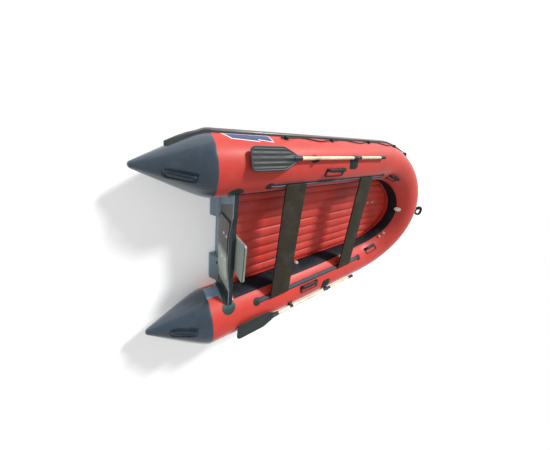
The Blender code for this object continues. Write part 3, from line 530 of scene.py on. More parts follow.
def make_finish(name, colour, kind, scuff, wear=0.3, dust=0.05, size=None, pattern_uv=True,
                coat_weight=0.0, metallic=0.0, rough=None, gloss=0.5, coat_rough=0.2, sheen=0.0):
    """A named finish: its colour changes with tone, scuffs and dust, and its skin has relief."""
    found = bpy.data.materials.get(name)
    if found:
        return found
    group, relief, contrast, low, high = FINISH_KINDS[kind]
    if rough:
        low, high = rough
    made = bpy.data.materials.new(name)
    made.use_nodes = True
    shader = Shader(made.node_tree)
    surface = made.node_tree.nodes["Principled BSDF"]
    place = shader.node("ShaderNodeTexCoord").outputs["Object"]
    values = {"Place": place}
    if group == "coat":
        values["Vector"] = shader.node("ShaderNodeUVMap").outputs[0] if pattern_uv else place
        values["Thread"] = size or THREAD_SIZE
    elif group == "grain":
        values["Size"] = size or GRAIN_SIZE
    pattern = group_node(shader, group, values)
    marks = group_node(shader, "wear", {"Place": place})
    tone, height = pattern.outputs["Tone"], pattern.outputs["Height"]
    scuffs = shader.maths("MULTIPLY", marks.outputs["Scuffs"], wear)
    dusty = shader.maths("MULTIPLY", marks.outputs["Dust"], dust)
    dark = tuple(value * (1 - contrast) for value in colour)
    light = tuple(min(1.0, value * (1 + contrast)) for value in colour)
    base = shader.blend(shader.ramp(tone, 0.3, 0.7), (*dark, 1.0), (*light, 1.0))
    base = shader.blend(scuffs, base, (*scuff, 1.0))
    base = shader.blend(dusty, base, DUST_COLOUR)
    rough_value = shader.ramp(tone, 0.25, 0.75, low, high)
    rough_value = shader.maths("MULTIPLY_ADD", marks.outputs["Dust"], 0.12, rough_value)
    bump = shader.node("ShaderNodeBump", {"Height": height, "Distance": relief, "Strength": 0.7})
    links = made.node_tree.links
    links.new(base, surface.inputs["Base Color"])
    links.new(rough_value, surface.inputs["Roughness"])
    links.new(bump.outputs[0], surface.inputs["Normal"])
    surface.inputs["Metallic"].default_value = metallic
    surface.inputs["Coat Weight"].default_value = coat_weight
    surface.inputs["Coat Roughness"].default_value = coat_rough
    surface.inputs["Sheen Weight"].default_value = sheen
    surface.inputs["Sheen Roughness"].default_value = 0.3
    surface.inputs["Specular IOR Level"].default_value = gloss
    made.diffuse_color = (*colour, 1.0)
    return made


def colour_property(label, text, default):
    """A colour that a user can change."""
    return FloatVectorProperty(
        name=label, description=text, subtype="COLOR", size=3, min=0.0, max=1.0, default=default
    )


def length_property(label, text, default):
    """A length that a user can change."""
    return FloatProperty(
        name=label, description=text, default=default, min=0.0, unit="LENGTH", subtype="DISTANCE",
        precision=4,
    )


class BoatHullSettings(bpy.types.PropertyGroup):
    """Sizes of the hull's fabric parts"""

    tube_steps: IntProperty(name="Tube steps", description="Faces round a tube", default=96, min=24)
    tape_width: length_property("Seam tape width", "Width of the tape over a seam", 0.032)
    tape_thickness: length_property("Seam tape thickness", "Thickness of a seam tape", 0.0011)
    rib_rise: length_property("Rib rise", "How far the floor's ribs swell above its grooves", 0.018)
    rib_width: length_property("Rib width", "Width of one rib of the floor", 0.1)
    ridge_rise: length_property("Strake ridge", "Rise of the ridges along the strake", 0.0016)


class BoatTrimSettings(bpy.types.PropertyGroup):
    """Sizes of the moulded trim"""

    pad_thickness: length_property("Pad thickness", "Thickness of a glued pad", 0.003)
    pad_edge: length_property("Pad edge", "Rounding of a glued pad's edge", 0.0012)
    grip_radius: length_property("Grip radius", "Radius of a carrying handle's bar", 0.008)
    line_radius: length_property("Line radius", "Radius of the grab line", 0.005)
    blade_ridge: length_property("Blade ridge", "Height of the ridges along an oar's blade", 0.0026)


class BoatColours(bpy.types.PropertyGroup):
    """Colours of the boat's finishes"""

    tube: colour_property("Tube", "Coated fabric of the tubes", (0.56, 0.043, 0.030))
    floor: colour_property("Floor", "Coated fabric of the floor", (0.58, 0.046, 0.033))
    cone: colour_property("Cone", "Coated fabric of the stern cones", (0.021, 0.041, 0.068))
    band: colour_property("Band", "Fabric bands on the inner flanks", (0.006, 0.008, 0.014))
    trim: colour_property("Trim", "Moulded rubber trim", (0.020, 0.026, 0.028))
    rail: colour_property("Rail", "Bench rails", (0.040, 0.056, 0.080))
    bench: colour_property("Bench", "Bench boards", (0.022, 0.018, 0.011))
    transom: colour_property("Transom", "Painted transom board", (0.125, 0.180, 0.225))
    # Motor plate colours: its own light colour, then the painted shade on its port end and the brown
    # mottling within that painted shade
    plate_light: colour_property("Light plate", "Starboard end of the motor plate", (0.30, 0.35, 0.30))
    plate_painted_shade: colour_property("Plate shade", "Port end of the motor plate", (0.062, 0.056, 0.054))
    plate_shade_brown: colour_property("Plate shade brown", "Brown mottling in the painted shade", (0.100, 0.084, 0.072))
    blade: colour_property("Blade", "Oar blades", (0.020, 0.026, 0.026))
    shaft: colour_property("Shaft", "Coated oar shafts", (0.72, 0.62, 0.43))
    patch: colour_property("Patch", "Plain patch on each side", (0.020, 0.060, 0.170))
    stern_handle: colour_property("Stern handles", "Handles on the cones", (0.016, 0.028, 0.044))
    holder: colour_property("Holders", "Profiles at the transom's ends", (0.150, 0.240, 0.340))
    holder_end: colour_property("Holder ends", "Round ends of the profiles", (0.020, 0.050, 0.046))
    inner_plate: colour_property("Inner plate", "Plate inside the transom", (0.175, 0.205, 0.180))


class BoatStageSettings(bpy.types.PropertyGroup):
    """Light and floor of the studio"""

    key_strength: FloatProperty(
        name="Key light", description="Strength of the slanting key light", default=3.6
    )
    key_spread: FloatProperty(
        name="Key spread", description="Angle over which the key light is spread",
        default=math.radians(9.0), subtype="ANGLE"
    )
    sky_strength: FloatProperty(
        name="Sky", description="Strength of the even light all round", default=0.55
    )
    floor_size: length_property("Floor size", "Width of the studio floor", 120.0)
    floor_glow: FloatProperty(
        name="Floor glow", description="How far the studio floor lights up its own shadows", default=0.25
    )


SETTINGS = {
    "boat_hull": BoatHullSettings,
    "boat_trim": BoatTrimSettings,
    "boat_colours": BoatColours,
    "boat_stage": BoatStageSettings,
}


def tuned(context, group):
    """One of the scene's groups of settings."""
    return getattr(context.scene, group)


COATED_RUBBER = {"coat_weight": 0.8}
PAINTED_BOARD = {"wear": 0.5, "dust": 0.1, "rough": (0.25, 0.42)}
FINISHES = {
    # key: (name, colour or the setting that holds it, kind, scuff's colour, further values)
    "tube": ("Tube fabric", "tube", "fabric", (0.9, 0.35, 0.28), {
        "wear": 0.22, "coat_weight": 0.12, "coat_rough": 0.34, "sheen": 0.5, "rough": (0.46, 0.6),
        "gloss": 0.35,
    }),
    "floor": ("Floor fabric", "floor", "fabric", (0.75, 0.3, 0.25), {
        "dust": 0.08, "rough": (0.36, 0.52),
    }),
    "cone": ("Cone fabric", "cone", "fabric", (0.2, 0.26, 0.32), {
        "dust": 0.04, "coat_weight": 1.0, "sheen": 0.08, "gloss": 0.3,
    }),
    "band": ("Band fabric", "band", "fabric", (0.1, 0.12, 0.15), {"rough": (0.5, 0.65), "gloss": 0.2}),
    "teal": ("Teal fabric", "holder_end", "fabric", (0.1, 0.16, 0.15), {"gloss": 0.3}),
    "patch": ("Patch blue", "patch", "fabric", (0.3, 0.38, 0.5), {"dust": 0.06}),
    "patch_edge": ("Patch edge", (0.82, 0.8, 0.78), "fabric", (0.6, 0.55, 0.5), {"dust": 0.1}),
    "line": ("Braided line", (0.022, 0.022, 0.024), "fabric", (0.12, 0.12, 0.12), {
        "wear": 0.5, "dust": 0.12, "size": 900.0, "rough": (0.65, 0.85), "pattern_uv": False,
    }),
    "trim": ("Moulded trim", "trim", "moulded", (0.14, 0.16, 0.16), {"gloss": 0.3}),
    "strake": ("Strake rubber", "trim", "moulded", (0.16, 0.18, 0.18), {
        "dust": 0.04, "coat_weight": 1.0,
    }),
    "stern_handle": ("Slate rubber", "stern_handle", "moulded", (0.1, 0.13, 0.16), {
        "dust": 0.04, "gloss": 0.3,
    }),
    "bead": ("Bead rubber", "holder", "moulded", (0.3, 0.36, 0.42), COATED_RUBBER),
    "holder": ("Holder rubber", "holder", "moulded", (0.3, 0.36, 0.42), COATED_RUBBER),
    "rail": ("Rail rubber", "rail", "moulded", (0.22, 0.25, 0.3), {"wear": 0.4, "dust": 0.08}),
    "guard": ("Wear strip", (0.07, 0.078, 0.085), "moulded", (0.3, 0.3, 0.3), {
        "wear": 0.8, "dust": 0.3, "rough": (0.6, 0.8),
    }),
    "bench": ("Bench board", "bench", "board", (0.12, 0.1, 0.075), {
        "wear": 0.4, "gloss": 0.25, "rough": (0.5, 0.64),
    }),
    "transom": ("Transom paint", "transom", "board", (0.35, 0.4, 0.44), PAINTED_BOARD),
    "gusset": ("Gusset paint", "transom", "board", (0.35, 0.4, 0.44), PAINTED_BOARD),
    "inner_plate": ("Light plate", "inner_plate", "board", (0.3, 0.32, 0.28), {
        "wear": 0.4, "dust": 0.08, "rough": (0.3, 0.5),
    }),
    "outer_plate": ("Motor plate", "plate_light", "board", (0.4, 0.4, 0.38), {
        "wear": 0.5, "dust": 0.1, "rough": (0.22, 0.4),
    }),
    "blade": ("Blade plastic", "blade", "moulded", (0.12, 0.14, 0.13), {
        "wear": 0.4, "dust": 0.04, "size": 320.0, "gloss": 0.35,
    }),
    "shaft": ("Shaft coating", "shaft", "moulded", (0.45, 0.42, 0.36), {
        "wear": 0.35, "rough": (0.22, 0.36),
    }),
    "valve_white": ("White valve", (0.78, 0.76, 0.71), "moulded", (0.5, 0.48, 0.44), {"dust": 0.15}),
    "valve_grey": ("Grey valve", (0.42, 0.4, 0.35), "moulded", (0.6, 0.58, 0.52), {
        "wear": 0.4, "dust": 0.15,
    }),
    "bolt": ("Bolt enamel", (0.8, 0.8, 0.76), "moulded", (0.5, 0.5, 0.48), {"rough": (0.25, 0.4)}),
    "steel": ("Bolt steel", (0.6, 0.6, 0.58), "moulded", (0.3, 0.3, 0.3), {
        "wear": 0.5, "dust": 0.08, "metallic": 1.0, "rough": (0.2, 0.38),
    }),
}


def finish_of(context, key):
    """One of the boat's finishes, made when it is first asked for."""
    name, colour, kind, scuff, more = FINISHES[key]
    if isinstance(colour, str):
        colour = tuple(getattr(tuned(context, "boat_colours"), colour))
    return make_finish(name, colour, kind, scuff, **more)


# Tubes, cones and strakes

def add_tube(bm, start, end, side, steps, along_steps):
    """Add a closed tube between two distances along the hull's side."""
    def place(u, v):
        return station(mix(start, end, u), side).skin(360.0 * v)

    def pattern(u, v):
        return (mix(start, end, u), 2 * math.pi * TUBE_RADIUS * v)

    add_surface(bm, place, along_steps, steps, pattern=pattern)


# Across the tape: place as a share of its width, and rise as a share of its thickness
TAPE_PROFILE = [(-0.5, 0.0), (-0.47, 0.75), (-0.40, 1.0), (0.40, 1.0), (0.47, 0.75), (0.5, 0.0)]


def add_tape(bm, along, side, width, thickness, steps):
    """Add a thin band of tape round a tube."""
    for left, right in zip(TAPE_PROFILE, TAPE_PROFILE[1:]):
        def place(u, v, left=left, right=right):
            ahead = mix(left[0], right[0], u) * width
            lift = mix(left[1], right[1], u) * thickness
            return station(along + ahead, side).skin(360.0 * v, lift)

        def pattern(u, v, left=left, right=right):
            ahead = mix(left[0], right[0], u) * width
            return (along + ahead, 2 * math.pi * TUBE_RADIUS * v)

        add_surface(bm, place, 1, steps, closed=False, pattern=pattern)
    bmesh.ops.remove_doubles(bm, verts=bm.verts, dist=MERGE_DISTANCE)


class BOAT_OT_tubes(bpy.types.Operator):
    """Blow up the two straight tubes and the bow tube, with tapes over their seams"""

    bl_idname = "boat.tubes"
    bl_label = "Tubes"

    def execute(self, context):
        sizes = tuned(context, "boat_hull")
        fabric = finish_of(context, "tube")
        for side, name in SIDES.items():
            bm = bmesh.new()
            add_tube(bm, 0.0, STRAIGHT_LENGTH, side, sizes.tube_steps, TUBE_RINGS)
            finish_piece("tube_%s_skin" % name, bm, fabric, replaces=["tube_" + name], slot="tube_red")
            bm = bmesh.new()
            add_tape(bm, STRAIGHT_LENGTH, side, sizes.tape_width, sizes.tape_thickness,
                     sizes.tube_steps)
            finish_piece("seam_tape_" + name, bm, fabric, slot="tube_red")
        bm = bmesh.new()
        add_tube(bm, STRAIGHT_LENGTH, BOW_END, PORT, sizes.tube_steps, BOW_RINGS)
        finish_piece("tube_bow_skin", bm, fabric, replaces=["tube_bow"], slot="tube_red")
        return {"FINISHED"}


CONE_RINGS = 72
CONE_SPACING = 1.15
CONE_OVERLAP = 0.008
CONE_HEM = 0.0009
CONE_HEM_LENGTH = 0.05

# The nose: a ball that starts where its slope is the cone's
NOSE_SHARE = 0.84
NOSE_START = 0.43126
NOSE_RADIUS = 0.0272
NOSE_CENTRE = 0.41846
NOSE_SLOPE = 28.1


def nose_slope(u):
    """Slope of the nose's skin at a share of the cone's rings past the nose's start."""
    return math.radians(mix(NOSE_SLOPE, 90.0, (u - NOSE_SHARE) / (1 - NOSE_SHARE)))


def cone_back(u):
    """Distance aft of the joint at a share of the cone's rings."""
    if u <= NOSE_SHARE:
        return mix(-CONE_OVERLAP, NOSE_START, (u / NOSE_SHARE) ** CONE_SPACING)
    return NOSE_CENTRE + NOSE_RADIUS * math.sin(nose_slope(u))


def cone_point(u, v, side):
    """A point of the cone's skin, at a share of its rings and of the way round."""
    back = cone_back(u)
    place = station(-back, side)
    reach = place.radius + CONE_HEM * (1 - smooth_step(0.0, CONE_HEM_LENGTH, back))
    if u > NOSE_SHARE:
        reach = NOSE_RADIUS * math.cos(nose_slope(u))
    turn = 2 * math.pi * v
    return place.at(reach * math.sin(turn), reach * math.cos(turn))


class BOAT_OT_cones(bpy.types.Operator):
    """Shape the two stern cones, hemmed over the tubes, with round noses"""

    bl_idname = "boat.cones"
    bl_label = "Stern cones"

    def execute(self, context):
        sizes = tuned(context, "boat_hull")
        fabric = finish_of(context, "cone")
        for side, name in SIDES.items():
            bm = bmesh.new()
            add_surface(
                bm, lambda u, v: cone_point(u, v, side), CONE_RINGS, sizes.tube_steps,
                pattern=lambda u, v: (-cone_back(u), 2 * math.pi * TUBE_RADIUS * v),
            )
            finish_piece("cone_%s_skin" % name, bm, fabric, replaces=["cone_" + name],
                         slot="cone_slate")
        return {"FINISHED"}


STRAKE_START = -0.25
STRAKE_SPACING = 1.3
STRAKE_STEPS = 40
STRAKE_OUTER_SHARE = 0.7
STRAKE_SQUARENESS = 0.62
STRAKE_RIDGES, STRAKE_RIDGED_TURN = 5, 70
STRAKE_SEAT = 0.0006

# Along the strake: half its height, and its outer edge's distance from the tube's axis
STRAKE_HALF_HEIGHTS = [(STRAKE_START, 0.012), (-0.18, 0.017), (-0.12, 0.021), (-0.07, 0.028),
                       (-0.03, 0.033), (0.0, 0.034), (9.0, 0.034)]
STRAKE_EDGES = [(STRAKE_START, 0.15), (-0.18, 0.187), (-0.12, 0.213), (-0.07, 0.228),
                (-0.03, 0.246), (0.0, 0.251), (9.0, 0.251)]


def strake_point(along, side, v, ridge):
    """A point of the strake's profile: rounded outside, with ridges, and on the skin inside."""
    place = station(along, side)
    half = along_table(STRAKE_HALF_HEIGHTS, along)
    edge = along_table(STRAKE_EDGES, along)
    if v > STRAKE_OUTER_SHARE:
        up = mix(half, -half, (v - STRAKE_OUTER_SHARE) / (1 - STRAKE_OUTER_SHARE))
        return place.at(math.sqrt(place.radius**2 - up**2) + STRAKE_SEAT, up)
    turn = mix(-90.0, 90.0, v / STRAKE_OUTER_SHARE)
    cosine, sine = rim_wave(math.radians(turn), STRAKE_SQUARENESS)
    seat = math.sqrt(place.radius**2 - (half * sine) ** 2)
    ridges = 0.0
    if abs(turn) < STRAKE_RIDGED_TURN:
        ridges = ridge * math.cos(math.radians(turn * STRAKE_RIDGES)) * cosine
    return place.at(seat + (edge - seat - ridge) * cosine + ridges, half * sine)


class BOAT_OT_strakes(bpy.types.Operator):
    """Run the moulded rub strake round the outer side"""

    bl_idname = "boat.strakes"
    bl_label = "Rub strakes"

    def execute(self, context):
        ridge = tuned(context, "boat_hull").ridge_rise
        rubber = finish_of(context, "strake")
        for side, name in SIDES.items():
            bm = bmesh.new()
            add_surface(
                bm, lambda u, v: strake_point(
                    mix(STRAKE_START, STRAIGHT_LENGTH, u**STRAKE_SPACING), side, v, ridge
                ),
                70, STRAKE_STEPS,
            )
            finish_piece("rub_strake_%s_moulding" % name, bm, rubber,
                         replaces=["rub_strake_" + name], slot="trim_black")
        bm = bmesh.new()
        add_surface(
            bm, lambda u, v: strake_point(mix(STRAIGHT_LENGTH, BOW_END, u), PORT, v, ridge),
            BOW_RINGS, STRAKE_STEPS,
        )
        finish_piece("rub_strake_bow_moulding", bm, rubber, replaces=["rub_strake_bow"],
                     slot="trim_black")
        return {"FINISHED"}


PATCH_ANGLE = 68.0
PATCH_THICKNESS = 0.0007
PATCH_LAYERS = (
    # (name, finish, slot, gap under it, outline of distances ahead and outboard)
    ("edge", "patch_edge", "valve_white", 0.0002, [
        (0.070, 0.046), (0.124, -0.024), (0.312, -0.024), (0.331, -0.046), (0.444, -0.046),
        (0.433, 0.044),
    ]),
    ("field", "patch", "band_blue", 0.0006, [
        (0.089, 0.039), (0.129, -0.016), (0.316, -0.016), (0.335, -0.038), (0.436, -0.038),
        (0.426, 0.037),
    ]),
)


class BOAT_OT_patches(bpy.types.Operator):
    """Lay a plain blue patch with a light edge on each tube"""

    bl_idname = "boat.patches"
    bl_label = "Side patches"

    def execute(self, context):
        for side, name in SIDES.items():
            spot = skin_spot(0.0, side, PATCH_ANGLE)
            for layer, finish, slot, gap, corners in PATCH_LAYERS:
                bm = bmesh.new()
                add_pad(bm, corners, spot, PATCH_THICKNESS, gap=gap, step=0.008, along_step=0.06)
                finish_piece("patch_%s_%s" % (layer, name), bm, finish_of(context, finish), slot=slot)
        return {"FINISHED"}


# Floor and bands

FLOOR_TOP = -0.045
FLOOR_BOTTOM = -0.205
FLOOR_START = 0.1826


def floor_rise(x):
    """How far the floor has risen towards the bow at a distance from the cone joint."""
    past = max(0.0, x - STRAIGHT_LENGTH) / BOW_LENGTH
    return BOW_RISE * past * past


def flank_table(level):
    """Half the floor's width at places along it, where it meets the tubes' inner flanks."""
    rows = []
    for index in range(0, 91):
        turn = math.radians(index)
        along = STRAIGHT_LENGTH + turn * (BOW_LENGTH + TUBE_SPREAD) / 2
        place = station(along, PORT)
        x = place.centre.x - HULL_ORIGIN.x
        for _ in range(3):
            drop = level + floor_rise(x) - (place.centre.z - HULL_ORIGIN.z)
            reach = math.sqrt(max(0.0, (TUBE_RADIUS + 0.002) ** 2 - drop**2))
            point = place.centre - place.outward * reach
            x = point.x - HULL_ORIGIN.x
        if rows and x <= rows[-1][0]:
            continue
        rows.append((x, max(0.0, point.y)))
    return rows


FLOOR_RIM_LEVEL, FLOOR_LOW_LEVEL = -0.03, -0.14
FLOOR_RINGS, FLOOR_STEPS = 130, 300
FLOOR_SPACING = 1.35
FLOOR_TOP_SHARE = 0.62
FLOOR_END_GAP = 0.004
FLOOR_END_ROUNDING, FLOOR_END_DROP = 0.03, 0.012
FLOOR_SIDE_FADE = 0.07
FLOOR_KEEL_SLOPE = 0.09
RIB_SQUARENESS = 0.55


class BOAT_OT_floor(bpy.types.Operator):
    """Blow up the ribbed floor between the tubes"""

    bl_idname = "boat.floor"
    bl_label = "Inflatable floor"

    def execute(self, context):
        sizes = tuned(context, "boat_hull")
        top_rows, low_rows = flank_table(FLOOR_RIM_LEVEL), flank_table(FLOOR_LOW_LEVEL)
        end = top_rows[-1][0] - FLOOR_END_GAP

        def bulge(y):
            return abs(math.cos(math.pi * y / sizes.rib_width)) ** RIB_SQUARENESS

        def place(u, v):
            x = mix(FLOOR_START, end, 1 - (1 - u) ** FLOOR_SPACING)
            ends = min(1.0, (x - FLOOR_START) / FLOOR_END_ROUNDING)
            ends = math.sqrt(max(0.0, 1 - (1 - ends) ** 2))
            if v <= FLOOR_TOP_SHARE:
                half = along_table(top_rows, x) + FLOOR_END_GAP
                y = mix(half, -half, v / FLOOR_TOP_SHARE)
                fade = smooth_step(0.0, FLOOR_SIDE_FADE, half - abs(y) + FLOOR_END_DROP) * ends
                z = FLOOR_TOP + sizes.rib_rise * bulge(y) * fade - FLOOR_END_DROP * (1 - ends)
            else:
                half = along_table(low_rows, x)
                y = mix(-half, half, (v - FLOOR_TOP_SHARE) / (1 - FLOOR_TOP_SHARE))
                z = FLOOR_BOTTOM + FLOOR_KEEL_SLOPE * abs(y) - FLOOR_END_DROP * bulge(y)
                z = min(z, FLOOR_TOP - FLOOR_END_ROUNDING)
            return HULL_ORIGIN + Vector((x, y, z + floor_rise(x)))

        def pattern(u, v):
            return (u * end, v * 2.0)

        bm = bmesh.new()
        add_surface(bm, place, FLOOR_RINGS, FLOOR_STEPS, pattern=pattern)
        finish_piece("inflatable_floor_skin", bm, finish_of(context, "floor"),
                     replaces=["inflatable_floor"], slot="floor_red", sharp=75.0)
        return {"FINISHED"}


BAND_START = 0.216
BAND_LOW_ANGLE, BAND_TOP_ANGLE, BAND_TOP_FALL = -97.5, -58.0, 9.5
BAND_FALL_START = 1.0
BAND_THICKNESS, BAND_SEAT = 0.0016, 0.0006
BAND_SQUARENESS = 0.35
WELT_RADIUS, WELT_BELOW = 0.0022, 1.2


def band_top(along):
    """Upper edge of a side band, in degrees: it comes down towards the bow."""
    past = max(0.0, along - BAND_FALL_START) / (STRAIGHT_LENGTH - BAND_FALL_START)
    return BAND_TOP_ANGLE - BAND_TOP_FALL * min(1.0, past) ** 2


def add_band(bm, start, end, side, steps):
    """Add a fabric band on the inner flank, with a thin welt along its upper edge."""
    def place(u, v):
        along = mix(start, end, u)
        cosine, sine = rim_wave(2 * math.pi * v, BAND_SQUARENESS)
        angle = mix(BAND_LOW_ANGLE, band_top(along), (1 + cosine) / 2)
        return station(along, side).skin(angle, BAND_SEAT + BAND_THICKNESS * (1 + sine) / 2)

    def pattern(u, v):
        return (mix(start, end, u), v * 0.3)

    def welt(u, x, y):
        along = mix(start, end, u)
        angle = band_top(along) - WELT_BELOW + math.degrees(x / TUBE_RADIUS)
        return station(along, side).skin(angle, BAND_SEAT + BAND_THICKNESS + y)

    add_surface(bm, place, steps, 36, pattern=pattern)
    add_round(bm, welt, steps, 8, lambda u: WELT_RADIUS)


class BOAT_OT_bands(bpy.types.Operator):
    """Lay the dark bands along the inner flanks"""

    bl_idname = "boat.bands"
    bl_label = "Inner bands"

    def execute(self, context):
        fabric = finish_of(context, "band")
        for side, name in SIDES.items():
            bm = bmesh.new()
            add_band(bm, BAND_START, STRAIGHT_LENGTH, side, TUBE_RINGS)
            finish_piece("inner_band_%s_fabric" % name, bm, fabric,
                         replaces=["inner_band_" + name], slot="band_blue")
        bm = bmesh.new()
        add_band(bm, STRAIGHT_LENGTH, BOW_END, PORT, BOW_RINGS)
        finish_piece("inner_band_bow_fabric", bm, fabric, replaces=["inner_band_bow"],
                     slot="band_blue")
        return {"FINISHED"}


GUARD_START, GUARD_END_GAP = 0.03, 0.06
GUARD_HALF_WIDTH = 0.035
GUARD_SQUARENESS = 0.3
GROOVE_DEPTH, GROOVE_SPACING, GROOVED_HALF_WIDTH = 0.0007, 0.0055, 0.026


def guard_point(u, v, side):
    """A point of a wear strip: on the skin above, flat with grooves below."""
    here = station(mix(GUARD_START, STRAIGHT_LENGTH - GUARD_END_GAP, u), side)
    cosine, sine = rim_wave(2 * math.pi * v, GUARD_SQUARENESS)
    over = GUARD_HALF_WIDTH * cosine
    skin = here.skin(180.0 - math.degrees(over / TUBE_RADIUS), GLUE_GAP)
    groove = 0.0
    if abs(over) < GROOVED_HALF_WIDTH:
        groove = GROOVE_DEPTH * max(0.0, math.cos(over / GROOVE_SPACING))
    return Vector((skin.x, skin.y, mix(CAD_BOX[0].z + groove, skin.z, (1 + sine) / 2)))


class BOAT_OT_guards(bpy.types.Operator):
    """Lay the wear strips below, grooved along their length"""

    bl_idname = "boat.guards"
    bl_label = "Wear strips"

    def execute(self, context):
        rubber = finish_of(context, "guard")
        for side, name in SIDES.items():
            bm = bmesh.new()
            add_surface(bm, lambda u, v: guard_point(u, v, side), 24, 120)
            finish_piece("tube_guard_%s_strip" % name, bm, rubber, replaces=["tube_guard_" + name],
                         slot="guard_grey")
        return {"FINISHED"}


# Transom

BOARD_AFT, BOARD_THICKNESS = 0.147, 0.035
BOARD_LOW = -0.215
FLANK_GAP = 0.0071

# Each plate: the port half of its outline, from top to bottom
OUTER_PLATE = [(0.12, 0.094), (0.235, 0.122), (0.262, 0.118), (0.27, 0.10), (0.27, -0.075),
               (0.25, -0.095)]
OUTER_PLATE_FORE, OUTER_PLATE_THICKNESS = 0.1467, 0.012
INNER_PLATE = [(0.148, 0.30), (0.163, 0.285), (0.14, 0.0), (0.125, -0.018)]
INNER_PLATE_AFT, INNER_PLATE_THICKNESS = 0.1823, 0.02

# Gusset, seen from the side, as distances aft of the board and heights
GUSSET = [(-0.055, -0.185), (0.0, -0.10), (0.0, BOARD_LOW), (-0.055, BOARD_LOW)]
GUSSET_INNER, GUSSET_WIDTH = 0.20, 0.255

BOLT_PLACES = ((0.133, 0.022), (0.131, 0.081), (-0.102, -0.003), (-0.096, 0.062))
WASHER_HEIGHT = 0.0015
DRAIN_PLACE = Vector((0.1383, -0.2558, -0.1131))
DRAIN_SLOPE = Vector((-0.085, 0, 0.055)).normalized()

# Dark cap over the board's top edge, partly painted shade; beads beside it; a thin dark bar of painted
# shade along the inner plate's top rim
CAP_AFT, CAP_WIDTH, CAP_THICKNESS, CAP_SINK = 0.1485, 0.032, 0.002, 0.001
BEAD_RADIUS, BEAD_SPREAD = 0.0034, 0.0165
INNER_PLATE_SHADE_LINE = [(-0.16, 0.284), (-0.147, 0.298), (0.147, 0.298), (0.16, 0.284)]
INNER_PLATE_SHADE_LINE_PLACE = 0.184

END_PATCH_ALONG, END_PATCH_ANGLE, END_PATCH_RADIUS = 0.155, -46.0, 0.057

# Holder, laid on the tube's inner flank, as distances ahead and heights
HOLDER = [
    (0.001, 0.052), (0.095, 0.052), (0.110, 0.10), (0.128, 0.137), (0.155, 0.150),
    (0.180, 0.145), (0.200, 0.125), (0.215, 0.09), (0.215, -0.016), (0.182, -0.016),
    (0.182, -0.148), (0.135, -0.148), (0.115, -0.12), (0.10, -0.07), (0.001, -0.07),
]
HOLDER_THICKNESS, HOLDER_GAP = 0.006, 0.0005
HOLDER_RIBS = (0.03, -0.045)
HOLDER_ROUND_START = 0.112


def stand_up(bm, x, way=1.0):
    """Turn a flat pattern of (across, height) so that it stands at a place along the boat."""
    for vert in bm.verts:
        y, z, depth = vert.co
        vert.co = HULL_ORIGIN + Vector((x + way * depth, y, z))


def mirrored(points):
    """An outline of the port half, given from top to bottom, with its starboard half."""
    return points + [(-y, z) for y, z in reversed(points)]


def tube_flank(height, lift):
    """Distance from the boat's middle to a tube's inner flank at a height."""
    return TUBE_SPREAD - math.sqrt((TUBE_RADIUS + lift) ** 2 - height**2)


def transom_half():
    """The port half of the transom's outline."""
    heights = [0.15 - 0.3 * step / 12 for step in range(13)]
    flank = [(tube_flank(height, FLANK_GAP), height) for height in heights]
    return [(0.13, 0.10), (0.32, 0.15), *flank, (flank[-1][0], BOARD_LOW)]


